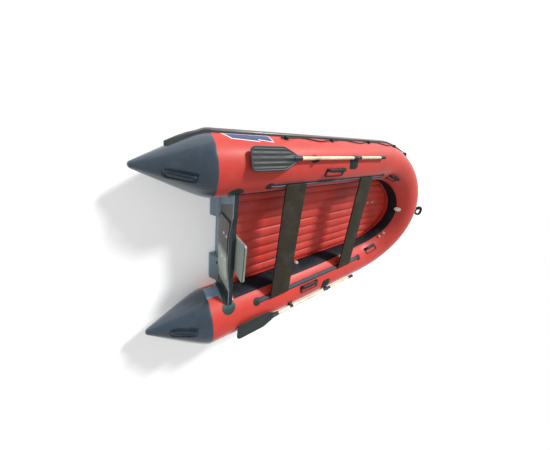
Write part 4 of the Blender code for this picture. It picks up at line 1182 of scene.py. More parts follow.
class BOAT_OT_transom(bpy.types.Operator):
    """Make the transom board, its motor plates, gussets, bolts and drain"""

    bl_idname = "boat.transom"
    bl_label = "Transom"

    def execute(self, context):
        self.board_and_plates(context)
        self.gussets(context)
        self.bolts(context)
        self.drain(context)
        self.edge_trim(context)
        self.holders(context)
        self.end_patches(context)
        return {"FINISHED"}

    def board_and_plates(self, context):
        """The painted board, with a motor plate on each of its faces."""
        bm = bmesh.new()
        add_slab(bm, mirrored(transom_half()), BOARD_THICKNESS, 0.003, edge_segments=3)
        stand_up(bm, BOARD_AFT)
        finish_piece("transom_board_painted", bm, board_finish(context), replaces=["transom_board"],
                     slot="transom_grey", sharp=50.0)

        bm = bmesh.new()
        add_slab(bm, mirrored(OUTER_PLATE), OUTER_PLATE_THICKNESS, 0.002, 0.006, 3, 3)
        cut_across(bm, 0, 0.02)
        stand_up(bm, OUTER_PLATE_FORE, -1.0)
        finish_piece("motor_plate_outer_panel", bm, plate_finish(context),
                     replaces=["motor_plate_outer"], slot="plate_grey", sharp=50.0)

        bm = bmesh.new()
        add_slab(bm, mirrored(INNER_PLATE), INNER_PLATE_THICKNESS, 0.0025, 0.004, 3, 3)
        stand_up(bm, INNER_PLATE_AFT)
        finish_piece("motor_plate_inner_panel", bm, finish_of(context, "inner_plate"),
                     replaces=["motor_plate_inner"], slot="plate_grey", sharp=50.0)

    def gussets(self, context):
        """The blocks that stiffen the board's foot from aft."""
        for side, name in SIDES.items():
            bm = bmesh.new()
            add_slab(bm, GUSSET, GUSSET_WIDTH, 0.003, 0.004, 3, 3)
            for vert in bm.verts:
                x, z, depth = vert.co
                place = Vector((OUTER_PLATE_FORE + x, side * (GUSSET_INNER + depth), z))
                vert.co = HULL_ORIGIN + place
            finish_piece("stern_gusset_%s_block" % name, bm, finish_of(context, "gusset"),
                         replaces=["stern_gusset_" + name], slot="cone_slate", sharp=50.0)

    def bolts(self, context):
        """Washers and hexagon heads aft, round heads on the inner plate."""
        aft_face = OUTER_PLATE_FORE - OUTER_PLATE_THICKNESS
        fore_face = INNER_PLATE_AFT + INNER_PLATE_THICKNESS
        bm = bmesh.new()
        for y, z in BOLT_PLACES:
            centre = HULL_ORIGIN + Vector((aft_face, y, z))
            add_stud(bm, centre, AFT, 0.0115, WASHER_HEIGHT, 22, 0.97)
            add_stud(bm, centre + AFT * WASHER_HEIGHT, AFT, 0.0075, 0.0045, 6, 0.96, 0.15)
            fore = HULL_ORIGIN + Vector((fore_face, y * 0.85, z + 0.03))
            add_stud(bm, fore, -AFT, 0.0085, 0.004, 20, 0.8)
        finish_piece("transom_bolts", bm, finish_of(context, "bolt"), slot="plate_grey")

    def drain(self, context):
        """The round drain plug through the board's foot."""
        bm = bmesh.new()
        drain = HULL_ORIGIN + DRAIN_PLACE
        add_stud(bm, drain - DRAIN_SLOPE * 0.002, DRAIN_SLOPE, 0.017, 0.005, 28, 0.9)
        add_stud(bm, drain + DRAIN_SLOPE * 0.003, DRAIN_SLOPE, 0.010, 0.005, 20, 0.9)
        finish_piece("transom_drain", bm, finish_of(context, "trim"), slot="trim_black")

    def edge_trim(self, context):
        """The dark cap along the board's upper edge, partly painted shade on that edge, the beads beside
        it, and a thin dark bar of painted shade along the inner plate's top rim.
        """
        top = sorted([(side * y, z) for y, z in transom_half()[:3] for side in SIDES])
        middle = BOARD_AFT + BOARD_THICKNESS / 2
        points = [HULL_ORIGIN + Vector((middle, y, z - CAP_SINK)) for y, z in top]
        bm = bmesh.new()
        # The cap's dark colour is partly the edge's own and partly painted shade on the board's top edge
        add_slab(bm, top + [(y, z + CAP_THICKNESS) for y, z in reversed(top)], CAP_WIDTH)
        stand_up(bm, CAP_AFT)
        fore_edge = [point - AFT * BEAD_SPREAD for point in points]
        add_bar(bm, fore_edge, BEAD_RADIUS, 8, smooth=False)
        # A thin dark bar of painted shade along the inner plate's top rim
        rim = [HULL_ORIGIN + Vector((INNER_PLATE_SHADE_LINE_PLACE, y, z)) for y, z in INNER_PLATE_SHADE_LINE]
        add_bar(bm, rim, BEAD_RADIUS, 8, smooth=False)
        finish_piece("transom_edge_cap", bm, finish_of(context, "trim"), slot="trim_black")
        bm = bmesh.new()
        aft_edge = [point + AFT * BEAD_SPREAD for point in points]
        add_bar(bm, aft_edge, BEAD_RADIUS, 8, smooth=False)
        finish_piece("transom_edge_bead", bm, finish_of(context, "bead"), slot="transom_grey")

    def holders(self, context):
        """The moulded profiles that hold the board's ends to the tubes."""
        for side, name in SIDES.items():
            bm = bmesh.new()
            add_slab(bm, HOLDER, HOLDER_THICKNESS, 0.0018, 0.003, 2)
            for z in HOLDER_RIBS:
                rib = bmesh.new()
                strip = rectangle(0.085, 0.006, 0.05, z)
                add_slab(rib, strip, HOLDER_THICKNESS + 0.0015, 0.001, 0.002, 2)
                join(bm, rib)
            cut_across(bm, 1, 0.008)
            for vert in bm.verts:
                x, z, depth = vert.co
                vert.co = HULL_ORIGIN + Vector((x, side * tube_flank(z, HOLDER_GAP + depth), z))
            finish_piece("transom_holder_%s_moulding" % name, bm, holder_finish(context),
                         replaces=["transom_holder_" + name], slot="transom_grey", sharp=45.0)

    def end_patches(self, context):
        """Round teal patches on the tubes, over the board's ends."""
        for side, name in SIDES.items():
            bm = bmesh.new()
            spot = skin_spot(END_PATCH_ALONG, side, END_PATCH_ANGLE)
            add_pad(bm, disc(END_PATCH_RADIUS, 48), spot, 0.0012, 0.0005, step=0.009,
                    along_step=0.02, edge_segments=1)
            finish_piece("transom_patch_" + name, bm, finish_of(context, "teal"), slot="trim_black")


# Where the board's aft face takes the motor plate's light colour and the painted shade at its port end
ZONE_PORT, ZONE_PORT_SLANT = 0.27, -0.42
ZONE_STARBOARD = -0.36
ZONE_FOOT = -0.095
ZONE_DEPTH = 0.002
ZONE_BLUR = 0.004
FOOT_BLUR = 0.003


def base_of(made):
    """A finish's shader, its colour socket, and the socket's place along the boat's axes."""
    shader = Shader(made.node_tree)
    base = made.node_tree.nodes["Principled BSDF"].inputs["Base Color"]
    return shader, base, shader.node("ShaderNodeTexCoord").outputs["Object"]


def painted_port_shade(context, shader, place, light):
    """Painted shade towards port, mottled with brown, and the given light colour towards starboard, with
    a ragged edge between.
    """
    colours = tuned(context, "boat_colours")
    across = shader.node("ShaderNodeSeparateXYZ", {0: place}).outputs[1]
    ragged = shader.maths("MULTIPLY_ADD", shader.noise(place, 30.0), 0.06, across)
    # dark is the painted shade on the port end, mottled with brown
    dark = shader.blend(
        shader.noise(place, 25.0), (*colours.plate_painted_shade, 1.0), (*colours.plate_shade_brown, 1.0)
    )
    return shader.blend(shader.ramp(ragged, -0.045, 0.03), light, dark)


def plate_finish(context):
    """The outer motor plate: its own light colour, with painted shade at its port end."""
    made = finish_of(context, "outer_plate")
    shader, base, place = base_of(made)
    made.node_tree.links.new(painted_port_shade(context, shader, place, base.links[0].from_socket), base)
    return made


def holder_finish(context):
    """The holders: slate blue, with a dark teal round end."""
    made = finish_of(context, "holder")
    shader, base, place = base_of(made)
    ahead = shader.node("ShaderNodeSeparateXYZ", {0: place}).outputs[0]
    start = HULL_ORIGIN.x + HOLDER_ROUND_START
    share = shader.ramp(ahead, start, start + ZONE_BLUR)
    teal = (*tuned(context, "boat_colours").holder_end, 1.0)
    made.node_tree.links.new(shader.blend(share, base.links[0].from_socket, teal), base)
    return made


def board_finish(context):
    """The painted board: round the plate its aft face takes the plate's light colour and the painted
    shade at port; past the starboard end it turns the trim's dark colour, partly dark rubber and partly
    painted shade.
    """
    colours = tuned(context, "boat_colours")
    made = finish_of(context, "transom")
    shader, base, place = base_of(made)
    split = shader.node("ShaderNodeSeparateXYZ", {0: place}).outputs
    depth = HULL_ORIGIN.x + BOARD_AFT + 0.001
    foot_level = HULL_ORIGIN.z + ZONE_FOOT
    aft = shader.ramp(split[0], depth + ZONE_DEPTH, depth)
    port_end = shader.maths("MULTIPLY_ADD", split[2], ZONE_PORT_SLANT, split[1])
    port_end = shader.ramp(port_end, ZONE_PORT + ZONE_BLUR, ZONE_PORT)
    starboard_end = shader.ramp(split[1], ZONE_STARBOARD - ZONE_BLUR, ZONE_STARBOARD)
    foot = shader.ramp(split[2], foot_level - FOOT_BLUR, foot_level)
    zone = shader.maths("MULTIPLY", shader.maths("MULTIPLY", aft, port_end),
                        shader.maths("MULTIPLY", starboard_end, foot))
    # Past the starboard end: the trim's dark colour, partly the dark profile there and partly painted
    # shade
    dark_end_and_shade = shader.maths("SUBTRACT", 1.0, starboard_end)
    plain = shader.blend(dark_end_and_shade, base.links[0].from_socket, (*colours.trim, 1.0))
    light = shader.blend(0.9, plain, (*colours.plate_light, 1.0))
    made.node_tree.links.new(
        shader.blend(zone, plain, painted_port_shade(context, shader, place, light)), base
    )
    return made


# Benches and rails

RAIL_ANGLE = -34.0
RAIL_START, RAIL_END = 0.375, 1.94
RAIL_LENGTH = RAIL_END - RAIL_START
RAIL_HALF_WIDTH = 0.0225
RAIL_BASE_HEIGHT, RAIL_BASE_SHORTER = 0.0026, 0.07
RAIL_HEM_RADIUS, RAIL_HEM_INSET, RAIL_HEM_SHORTER = 0.0017, 0.0022, 0.075
RAIL_PATCH_RADIUS, RAIL_PATCH_INSET = 0.0365, 0.037
RAIL_BEAD_LIFT, RAIL_BEAD_LOW = 0.009, 0.003
RAIL_BEAD_RADIUS, RAIL_BEAD_SHORTER = 0.0069, 0.08
RAIL_BEAD_FOOT_WIDTH, RAIL_BEAD_FOOT_SHORTER = 0.030, 0.1

# Along the bead: place as a share of its length, and rise as a share of its lift
RAIL_BEAD_RISE = [(-0.5, 0.0), (-0.49, 0.7), (-0.48, 1.0), (0.48, 1.0), (0.49, 0.7), (0.5, 0.0)]


class BOAT_OT_rails(bpy.types.Operator):
    """Glue a rail with a round bead and end patches along each inner flank"""

    bl_idname = "boat.rails"
    bl_label = "Bench rails"

    def execute(self, context):
        long_step = {"step": 0.008, "along_step": 0.08}
        round_step = {"step": 0.009, "along_step": 0.02}
        for side, name in SIDES.items():
            spot = skin_spot((RAIL_START + RAIL_END) / 2, side, RAIL_ANGLE)
            bm = bmesh.new()
            base = rectangle(RAIL_LENGTH - RAIL_BASE_SHORTER, 2 * RAIL_HALF_WIDTH)
            add_pad(bm, base, spot, RAIL_BASE_HEIGHT, 0.001, **long_step)
            for edge in (-1, 1):
                over = edge * (RAIL_HALF_WIDTH - RAIL_HEM_INSET)
                places = [
                    mix(-0.5, 0.5, step / 24) * (RAIL_LENGTH - RAIL_HEM_SHORTER) for step in range(25)
                ]
                add_bar(bm, [spot(place, over, RAIL_BASE_HEIGHT) for place in places],
                        RAIL_HEM_RADIUS, 8)
            for end in (-1, 1):
                centre = end * (RAIL_LENGTH / 2 - RAIL_PATCH_INSET)
                add_pad(bm, disc(RAIL_PATCH_RADIUS, 44, centre), spot, 0.0028, 0.001, **round_step)
                add_pad(bm, disc(RAIL_PATCH_RADIUS * 0.62, 36, centre), spot, 0.0042, 0.0012,
                        **round_step)
            finish_piece("bench_rail_%s_moulding" % name, bm, finish_of(context, "trim"),
                         replaces=["bench_rail_" + name], slot="trim_black")
            bm = bmesh.new()
            foot = rectangle(RAIL_LENGTH - RAIL_BEAD_FOOT_SHORTER, RAIL_BEAD_FOOT_WIDTH)
            add_pad(bm, foot, spot, 0.0036, 0.001, **long_step)
            bead = []
            for share in (step / 60 for step in range(-30, 31)):
                rise = (RAIL_BEAD_LIFT - RAIL_BEAD_LOW) * along_table(RAIL_BEAD_RISE, share)
                bead.append(spot(share * (RAIL_LENGTH - RAIL_BEAD_SHORTER), 0.0, RAIL_BEAD_LOW + rise))
            add_bar(bm, bead, RAIL_BEAD_RADIUS, 18)
            finish_piece("bench_rail_%s_bead" % name, bm, finish_of(context, "rail"),
                         slot="trim_black")
        return {"FINISHED"}


BENCH_THICKNESS, BENCH_CORNER = 0.015, 0.014
CLEAT_INSET, CLEAT_SHORTER, CLEAT_WIDTH, CLEAT_DEPTH = 0.0225, 0.03, 0.012, 0.01
RIVET_PLACES = (-0.07, 0.0, 0.07)
RIVET_RADIUS, RIVET_HEIGHT = 0.0055, 0.0012


class BOAT_OT_benches(bpy.types.Operator):
    """Make the two benches: boards with end cleats and rivets"""

    bl_idname = "boat.benches"
    bl_label = "Benches"

    def execute(self, context):
        for name in ("bench_aft", "bench_fore"):
            low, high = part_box(name)
            middle = Vector(((low.x + high.x) / 2, 0.0, high.z - BENCH_THICKNESS))
            width, length = high.x - low.x, high.y - low.y
            bm = bmesh.new()
            add_slab(bm, rectangle(width, length), BENCH_THICKNESS, 0.004, BENCH_CORNER, 5, 4)
            bottom = [e for e in bm.edges if all(abs(v.co.z) < 1e-6 for v in e.verts)]
            round_edges(bm, bottom, 0.003, clamp=False)
            bmesh.ops.translate(bm, verts=bm.verts, vec=middle)
            finish_piece(name + "_board", bm, finish_of(context, "bench"), body=name,
                         replaces=[name], slot="bench_brown", sharp=50.0)
            bm = bmesh.new()
            rivets = bmesh.new()
            for side in (-1, 1):
                y = side * (length / 2 - CLEAT_INSET)
                cleat = bmesh.new()
                corners = rectangle(width - CLEAT_SHORTER, CLEAT_WIDTH, 0.0, y)
                add_slab(cleat, corners, CLEAT_DEPTH, 0.002, 0.003, 3)
                below = middle - UP * (CLEAT_DEPTH + 0.0001)
                bmesh.ops.translate(cleat, verts=cleat.verts, vec=below)
                join(bm, cleat)
                for x in RIVET_PLACES:
                    foot = middle + Vector((x, y, BENCH_THICKNESS - 0.0001))
                    add_stud(rivets, foot, UP, RIVET_RADIUS, RIVET_HEIGHT)
            finish_piece(name + "_cleats", bm, finish_of(context, "trim"), body=name,
                         slot="trim_black")
            finish_piece(name + "_rivets", rivets, finish_of(context, "trim"), body=name,
                         slot="bench_brown")
        return {"FINISHED"}


# Oars

OAR_ANGLES = {PORT: 22.0, STARBOARD: 15.0}
BLADE_ANGLES = {PORT: 22.0, STARBOARD: 0.0}
OAR_LIFT = 0.032
SHAFT_RADIUS = 0.0145
TIP_X, SHOULDER_X, NECK_X, GRIP_X, END_X = 0.205, 0.47, 0.60, 1.69, 1.775
PIN_X, CLIP_X = 1.30, 0.79
BLADE_HALF_WIDTH = 0.086
BLADE_THICKNESS = 0.007
BLADE_CORNER = 0.045


def slanted(side, angle):
    """Directions outboard and away from the skin, at an angle on the tube."""
    turn = math.radians(angle)
    outboard = Vector((0, side * math.cos(turn), -math.sin(turn)))
    away = Vector((0, side * math.sin(turn), math.cos(turn)))
    return outboard, away


def beside(side, x, across=0.0, away=0.0, angle=None):
    """A point beside the oar's line, in the oar's directions or in those of another angle."""
    line = station(x, side).skin(OAR_ANGLES[side], OAR_LIFT)
    outboard, up = slanted(side, OAR_ANGLES[side] if angle is None else angle)
    return line + outboard * across + up * away


def blade_half_width(x):
    """Half the blade's width: round corners at its tip, tapered shoulders at its neck."""
    into = x - TIP_X
    if into < BLADE_CORNER:
        missing = BLADE_CORNER - math.sqrt(max(0.0, BLADE_CORNER**2 - (BLADE_CORNER - into) ** 2))
        return BLADE_HALF_WIDTH - missing
    if x <= SHOULDER_X:
        return BLADE_HALF_WIDTH
    share = (x - SHOULDER_X) / (NECK_X - SHOULDER_X)
    return BLADE_HALF_WIDTH + (SHAFT_RADIUS + 0.004 - BLADE_HALF_WIDTH) * share**1.25


BLADE_EDGE = 0.0016
BLADE_RIM_INSET, BLADE_RIM_FADE = 0.006, 0.011
BLADE_FIELD_START, BLADE_FIELD_FULL = 0.012, 0.022
BLADE_RIDGE_TURNS = 2.5
SPINE_HALF_WIDTH, SPINE_WIDENING = 0.013, 0.006


def blade_half_thickness(x, across, half_width, ridge):
    """Half the blade's thickness, with a rim, lengthwise ridges and a spine into the neck."""
    past = max(0.0, (x - SHOULDER_X) / (NECK_X - SHOULDER_X))
    start = BLADE_THICKNESS * 0.75
    spine = start + (SHAFT_RADIUS + 0.003 - start) * past**1.2
    middle = math.exp(-((across / (SPINE_HALF_WIDTH + SPINE_WIDENING * past)) ** 2))
    from_edge = min(half_width - abs(across), x - TIP_X)
    rim = 1 - smooth_step(0.0, BLADE_RIM_FADE, abs(from_edge - BLADE_RIM_INSET))
    inside = smooth_step(BLADE_FIELD_START, BLADE_FIELD_FULL, from_edge) * (1 - past)
    ridges = math.cos(across / BLADE_HALF_WIDTH * math.pi * BLADE_RIDGE_TURNS) ** 2
    thick = BLADE_THICKNESS * 0.30 + ridge * (0.75 * rim + inside * ridges)
    ribbed = thick + (spine - thick) * middle * max(0.35, past)
    if past > 0:
        return max(BLADE_EDGE + (spine - BLADE_EDGE) * middle, ribbed)
    return max(0.0, ribbed)


def blade_point(u, v, side, ridge):
    """A point of the blade's skin, at a share of its length and of the way round it."""
    x = mix(TIP_X, NECK_X, u)
    half = blade_half_width(x)
    turn = 2 * math.pi * v
    share = math.cos(turn)
    across = half * math.copysign(abs(share) ** 0.8, share)
    thick = blade_half_thickness(x, across, half, ridge)
    edge = min(1.0, abs(math.sin(turn)) * 4.0)
    tip = min(1.0, (0.15 + (x - TIP_X) / BLADE_RIM_INSET))
    away = math.copysign(thick * edge * tip, math.sin(turn))
    return beside(side, x, across, away, BLADE_ANGLES[side])


NECK_BEFORE, NECK_PAST = 0.045, 0.03
JOINT_RINGS, JOINT_RING_HALF, JOINT_RING_RISE = (1.02, 1.045), 0.005, 0.0018
SLEEVE_START, SLEEVE_END, SLEEVE_RISE = 1.245, 1.355, 0.0009
GRIP_WAVES, GRIP_WAVE, GRIP_RISE = 9, 0.0006, 0.0022
GRIP_ROUNDING_START, GRIP_ROUNDING = 0.93, 0.008


def neck_radius(u):
    """Radius of the blade's neck round the shaft."""
    return SHAFT_RADIUS + 0.0035 - 0.0012 * abs(2 * u - 1) ** 6


def ring_radius(u):
    """Radius of a ring at the joint of the shaft's two parts."""
    return SHAFT_RADIUS + JOINT_RING_RISE * math.sin(math.pi * mix(0.15, 0.85, u))


def oar_grip_radius(u):
    """Radius of the oar's grip: ringed, with a round end."""
    wave = GRIP_WAVE * math.cos(u * 2 * math.pi * GRIP_WAVES)
    rounding = GRIP_ROUNDING * smooth_step(GRIP_ROUNDING_START, 1.0, u) ** 2
    return SHAFT_RADIUS + GRIP_RISE + wave - rounding


def add_along_oar(bm, side, start, end, along, around, radius_at):
    """Add a round bar along the oar's line, between two places."""
    add_round(bm, lambda u, x, y: beside(side, mix(start, end, u), x, y), along, around, radius_at)


class BOAT_OT_oars(bpy.types.Operator):
    """Make the oars: ribbed blades, two-part shafts and ringed grips"""

    bl_idname = "boat.oars"
    bl_label = "Oars"

    def execute(self, context):
        ridge = tuned(context, "boat_trim").blade_ridge
        for side, name in SIDES.items():
            body = "oar_" + name
            bm = bmesh.new()
            add_surface(bm, lambda u, v: blade_point(u, v, side, ridge), 120, 132)
            neck = bmesh.new()
            add_along_oar(neck, side, NECK_X - NECK_BEFORE, NECK_X + NECK_PAST, 12, 28, neck_radius)
            join(bm, neck)
            finish_piece("oar_blade_%s_moulding" % name, bm, finish_of(context, "blade"), body=body,
                         replaces=["oar_blade_" + name], slot="blade_black")

            bm = bmesh.new()
            add_along_oar(bm, side, NECK_X, GRIP_X, 40, 32, lambda u: SHAFT_RADIUS)
            for centre in JOINT_RINGS:
                add_along_oar(bm, side, centre - JOINT_RING_HALF, centre + JOINT_RING_HALF, 4, 32,
                              ring_radius)
            finish_piece("oar_shaft_%s_tube" % name, bm, finish_of(context, "shaft"), body=body,
                         replaces=["oar_shaft_" + name], slot="shaft_cream")

            bm = bmesh.new()
            add_along_oar(bm, side, SLEEVE_START, SLEEVE_END, 20, 32,
                          lambda u: SHAFT_RADIUS + SLEEVE_RISE)
            finish_piece("oar_rings_" + name, bm, finish_of(context, "trim"), body=body,
                         slot="trim_black")
            bm = bmesh.new()
            add_along_oar(bm, side, GRIP_X, END_X, 72, 32, oar_grip_radius)
            finish_piece("oar_grip_%s_rubber" % name, bm, finish_of(context, "trim"), body=body,
                         replaces=["oar_grip_" + name], slot="trim_black")
        return {"FINISHED"}


ROWLOCK_INBOARD, ROWLOCK_OUTBOARD = 26.0, 7.0
ROWLOCK_BASE, ROWLOCK_STEP = (0.122, 0.128), (0.1, 0.106)
ROWLOCK_STEP_HEIGHT = 0.0056
ROWLOCK_RIBS, ROWLOCK_RIB_TURN = (-0.026, 0.0, 0.026), 7.0
ROWLOCK_FOOT = 0.003
PIN_RADIUS, PIN_LOW, PIN_HIGH = 0.0038, -0.02, 0.0195
CAP_GAP, CAP_HEIGHT = 0.0015, 0.003
CLIP_WIDTH = 0.026

# The clip's cradle round the shaft, seen along it, as distances outboard and off the skin
CRADLE = [
    (0.0145, -0.0300), (0.0125, -0.0215), (0.0, -0.0202), (-0.0065, -0.0190),
    (-0.0160, -0.0150), (-0.0205, -0.0085), (-0.0208, 0.0005), (-0.0190, 0.0085),
    (-0.0172, 0.0125), (-0.0192, 0.0176), (-0.0250, 0.0168), (-0.0280, 0.0110),
    (-0.0292, 0.0), (-0.0290, -0.0090), (-0.0262, -0.0200), (-0.0245, -0.0305),
]


class BOAT_OT_rowlocks(bpy.types.Operator):
    """Glue down the rowlocks with their pins, and the clips that hold the shafts"""

    bl_idname = "boat.rowlocks"
    bl_label = "Rowlocks and clips"

    def execute(self, context):
        for side, name in SIDES.items():
            self.rowlock(context, side, name)
            self.clip(context, side, name)
        return {"FINISHED"}

    def rowlock(self, context, side, name):
        """A stepped and ribbed pad, the post on it, and the pin through the shaft."""
        trim = tuned(context, "boat_trim")
        axis = slanted(side, OAR_ANGLES[side])[1]
        middle = OAR_ANGLES[side] - (ROWLOCK_INBOARD - ROWLOCK_OUTBOARD) / 2
        spot = skin_spot(PIN_X, side, middle)
        bm = bmesh.new()
        for size, height in ((ROWLOCK_BASE, trim.pad_thickness), (ROWLOCK_STEP, ROWLOCK_STEP_HEIGHT)):
            add_pad(bm, rectangle(*size), spot, height, trim.pad_edge, 0.03, 7, gap=0.0)
        rib_spot = skin_spot(PIN_X, side, middle - ROWLOCK_RIB_TURN)
        for shift in ROWLOCK_RIBS:
            add_pad(bm, rectangle(0.009, 0.05, shift), rib_spot, 0.0085, 0.0015, 0.004, 3, gap=0.0)
        foot = beside(side, PIN_X, 0.0, ROWLOCK_FOOT - OAR_LIFT)
        post = OAR_LIFT - ROWLOCK_FOOT - SHAFT_RADIUS - 0.001
        add_stud(bm, foot, axis, 0.0245, post, 32, 0.82, 0.12)
        cap = SHAFT_RADIUS + CAP_GAP
        add_stud(bm, beside(side, PIN_X, 0.0, cap), axis, 0.0115, CAP_HEIGHT, 24)
        finish_piece("rowlock_%s_moulding" % name, bm, finish_of(context, "trim"),
                     replaces=["rowlock_" + name], slot="trim_black")
        bm = bmesh.new()
        add_round(bm, lambda u, x, y: beside(side, PIN_X + x, y, mix(PIN_LOW, PIN_HIGH, u)), 2, 16,
                  lambda u: PIN_RADIUS)
        add_stud(bm, beside(side, PIN_X, 0.0, cap + CAP_HEIGHT), axis, 0.0065, 0.004, 6, 0.96)
        finish_piece("rowlock_%s_pin" % name, bm, finish_of(context, "steel"), slot="trim_black")

    def clip(self, context, side, name):
        """A pad and the cradle on it, open outboard, where the shaft lies."""
        bm = bmesh.new()
        spot = skin_spot(CLIP_X, side, OAR_ANGLES[side])
        add_pad(bm, rectangle(0.052, 0.064), spot, 0.0042, 0.0015, 0.010, 5, gap=0.0)
        horn = bmesh.new()
        add_slab(horn, CRADLE, CLIP_WIDTH, 0.0015)
        for vert in horn.verts:
            across, away, ahead = vert.co
            vert.co = beside(side, CLIP_X - CLIP_WIDTH / 2 + ahead, across, away)
        join(bm, horn)
        finish_piece("oar_clip_%s_moulding" % name, bm, finish_of(context, "trim"),
                     replaces=["oar_clip_" + name], slot="trim_black", sharp=50.0)


# Handles, line and towing eye

HANDLE_RIM, HANDLE_END, HANDLE_CORNER = 0.009, 0.022, 0.022
HANDLE_FRAME_HEIGHT, HANDLE_FRAME_EDGE = 0.0042, 0.0013
HANDLE_RIVET_INSET = 0.011
GRIP_INSET, GRIP_END_INSET = 0.009, 0.012
GRIP_RIBS, GRIP_RIBBED_SHARE = 6, 0.62
GRIP_RIB_HALF, GRIP_RIB_RISE = 0.0016, 0.0008

# Along the grip: place as a share of half its length, and height over the skin
GRIP_SHAPE = [(-1.0, 0.002), (-0.995, 0.016), (-0.95, 0.028), (-0.84, 0.0345), (-0.7, 0.0362),
              (-0.35, 0.0375), (0.0, 0.038), (0.35, 0.0375), (0.7, 0.0362), (0.84, 0.0345),
              (0.95, 0.028), (0.995, 0.016), (1.0, 0.002)]


def add_handle_frame(bm, spot, length, width, lift):
    """Add a flat frame, open in its middle, laid on the skin."""
    flat = bmesh.new()
    face = add_outline(flat, rectangle(length, width), HANDLE_CORNER, 7)
    bmesh.ops.inset_region(flat, faces=[face], thickness=HANDLE_RIM, use_even_offset=True,
                           use_boundary=True)
    window = min(flat.faces, key=lambda item: item.calc_center_median().length)
    shorter = (length / 2 - HANDLE_END) / (length / 2 - HANDLE_RIM)
    bmesh.ops.scale(flat, verts=window.verts, vec=(shorter, 1.0, 1.0))
    bmesh.ops.delete(flat, geom=[window], context="FACES_ONLY")
    raised = bmesh.ops.extrude_face_region(flat, geom=flat.faces[:])["geom"]
    top = [item for item in raised if isinstance(item, bmesh.types.BMVert)]
    bmesh.ops.translate(flat, verts=top, vec=(0, 0, HANDLE_FRAME_HEIGHT))
    flat.normal_update()
    rim = [
        item for item in flat.edges
        if all(v.co.z > HANDLE_FRAME_HEIGHT / 2 for v in item.verts)
        and any(abs(face.normal.z) < 0.5 for face in item.link_faces)
    ]
    round_edges(flat, rim, HANDLE_FRAME_EDGE, clamp=False)
    wrap(flat, lambda x, y, z: spot(x, y, z + lift))
    join(bm, flat)


def add_handle(bm, spot, side, length, width, lift, radius, widening):
    """Add a moulded frame glued to the skin, with a ribbed bar raised along its port side."""
    add_handle_frame(bm, spot, length, width, lift)
    over = side * (width / 2 - GRIP_INSET)
    reach = length / 2 - GRIP_END_INSET
    grip = bmesh.new()
    add_bar(grip, [Vector((share * reach, 0.0, rise)) for share, rise in GRIP_SHAPE], radius, 16)
    for step in range(-GRIP_RIBS, GRIP_RIBS + 1):
        x = GRIP_RIBBED_SHARE * reach * step / GRIP_RIBS
        rise = along_table(GRIP_SHAPE, x / reach)
        ends = [Vector((x + half, 0.0, rise)) for half in (-GRIP_RIB_HALF, GRIP_RIB_HALF)]
        add_bar(grip, ends, radius + GRIP_RIB_RISE, 16, smooth=False)
    for vert in grip.verts:
        ahead, across, rise = vert.co
        vert.co = spot(ahead, over + across * widening, rise + lift)
    join(bm, grip)
    for end in (-1, 1):
        centre = spot(end * (length / 2 - HANDLE_RIVET_INSET), -0.2 * over, 0.004 + lift)
        add_stud(bm, centre, off_skin(spot), 0.005, 0.0022, 16)


HANDLES = {
    # kind: (place and angle on each side, length, width, lift off the skin, widening of the grip)
    "middle": ({PORT: (1.056, -10.0), STARBOARD: (1.034, -14.0)}, 0.24, 0.08, 0.0005, 1.65),
    "bow": ({PORT: (2.222, -40.5), STARBOARD: (2.222, -40.5)}, 0.24, 0.08, 0.0008, 1.65),
    "stern": ({PORT: (-0.195, -13.0), STARBOARD: (-0.195, -13.0)}, 0.18, 0.06, 0.0018, 1.0),
}


class BOAT_OT_handles(bpy.types.Operator):
    """Glue on the six carrying handles"""

    bl_idname = "boat.handles"
    bl_label = "Carrying handles"

    def execute(self, context):
        radius = tuned(context, "boat_trim").grip_radius
        for side, name in SIDES.items():
            for kind, (places, length, width, lift, widening) in HANDLES.items():
                bm = bmesh.new()
                spot = skin_spot(places[side][0], side, places[side][1])
                add_handle(bm, spot, side, length, width, lift, radius, widening)
                label = "handle_%s_%s" % (kind, name)
                rubber = finish_of(context, "stern_handle" if kind == "stern" else "trim")
                finish_piece(label + "_moulding", bm, rubber, replaces=[label], slot="trim_black")
        return {"FINISHED"}


LINE_START = (0.54, 71.0)
LINE_END = (2.47, 75.0)
EYELETS = ((0.58, 71.0), (1.10, 72.0), (1.68, 74.0), (2.13, 67.0), (2.33, 62.0))
LINE_WAVE, LINE_WAVE_GAIN = 11.0, 1.3
LINE_HELD_LIFT = 0.0095
LINE_HELD_REACH, LINE_FREE_REACH = 0.036, 0.096
LINE_STEPS = 150
STOPPER_RADIUS, STOPPER_LENGTH, STOPPER_PAST = 0.0078, 0.014, 0.004

# Each layer of an eyelet's foot: its radius and its height
EYELET_LAYERS = ((0.0255, 0.0032), (0.0195, 0.0048))
ARCH_REACH, ARCH_LOW, ARCH_HIGH = 0.0122, -35.0, 215.0
# Each bar of an eyelet's arch: its shift along the line and its radius
ARCH_BARS = ((-0.0065, 0.0047), (0.0, 0.0052), (0.0065, 0.0047))


def line_point(along, side, radius):
    """A point of the grab line: held up in the eyelets, slack and wavy between them."""
    stops = (LINE_START, *EYELETS, LINE_END)
    index = sum(1 for stop in stops[1:-1] if stop[0] < along)
    before, after = stops[index], stops[index + 1]
    share = (along - before[0]) / (after[0] - before[0])
    angle = mix(before[1], after[1], smooth_step(0.0, 1.0, share))
    if 0 < index < len(stops) - 2:
        wave = LINE_WAVE * LINE_WAVE_GAIN * (after[0] - before[0])
        angle += wave * math.sin(2 * math.pi * share) * math.sin(math.pi * share)
    away = min(abs(along - place) for place, _ in EYELETS)
    free = smooth_step(LINE_HELD_REACH, LINE_FREE_REACH, away)
    return station(along, side).skin(angle, mix(LINE_HELD_LIFT, radius + 0.0008, free))


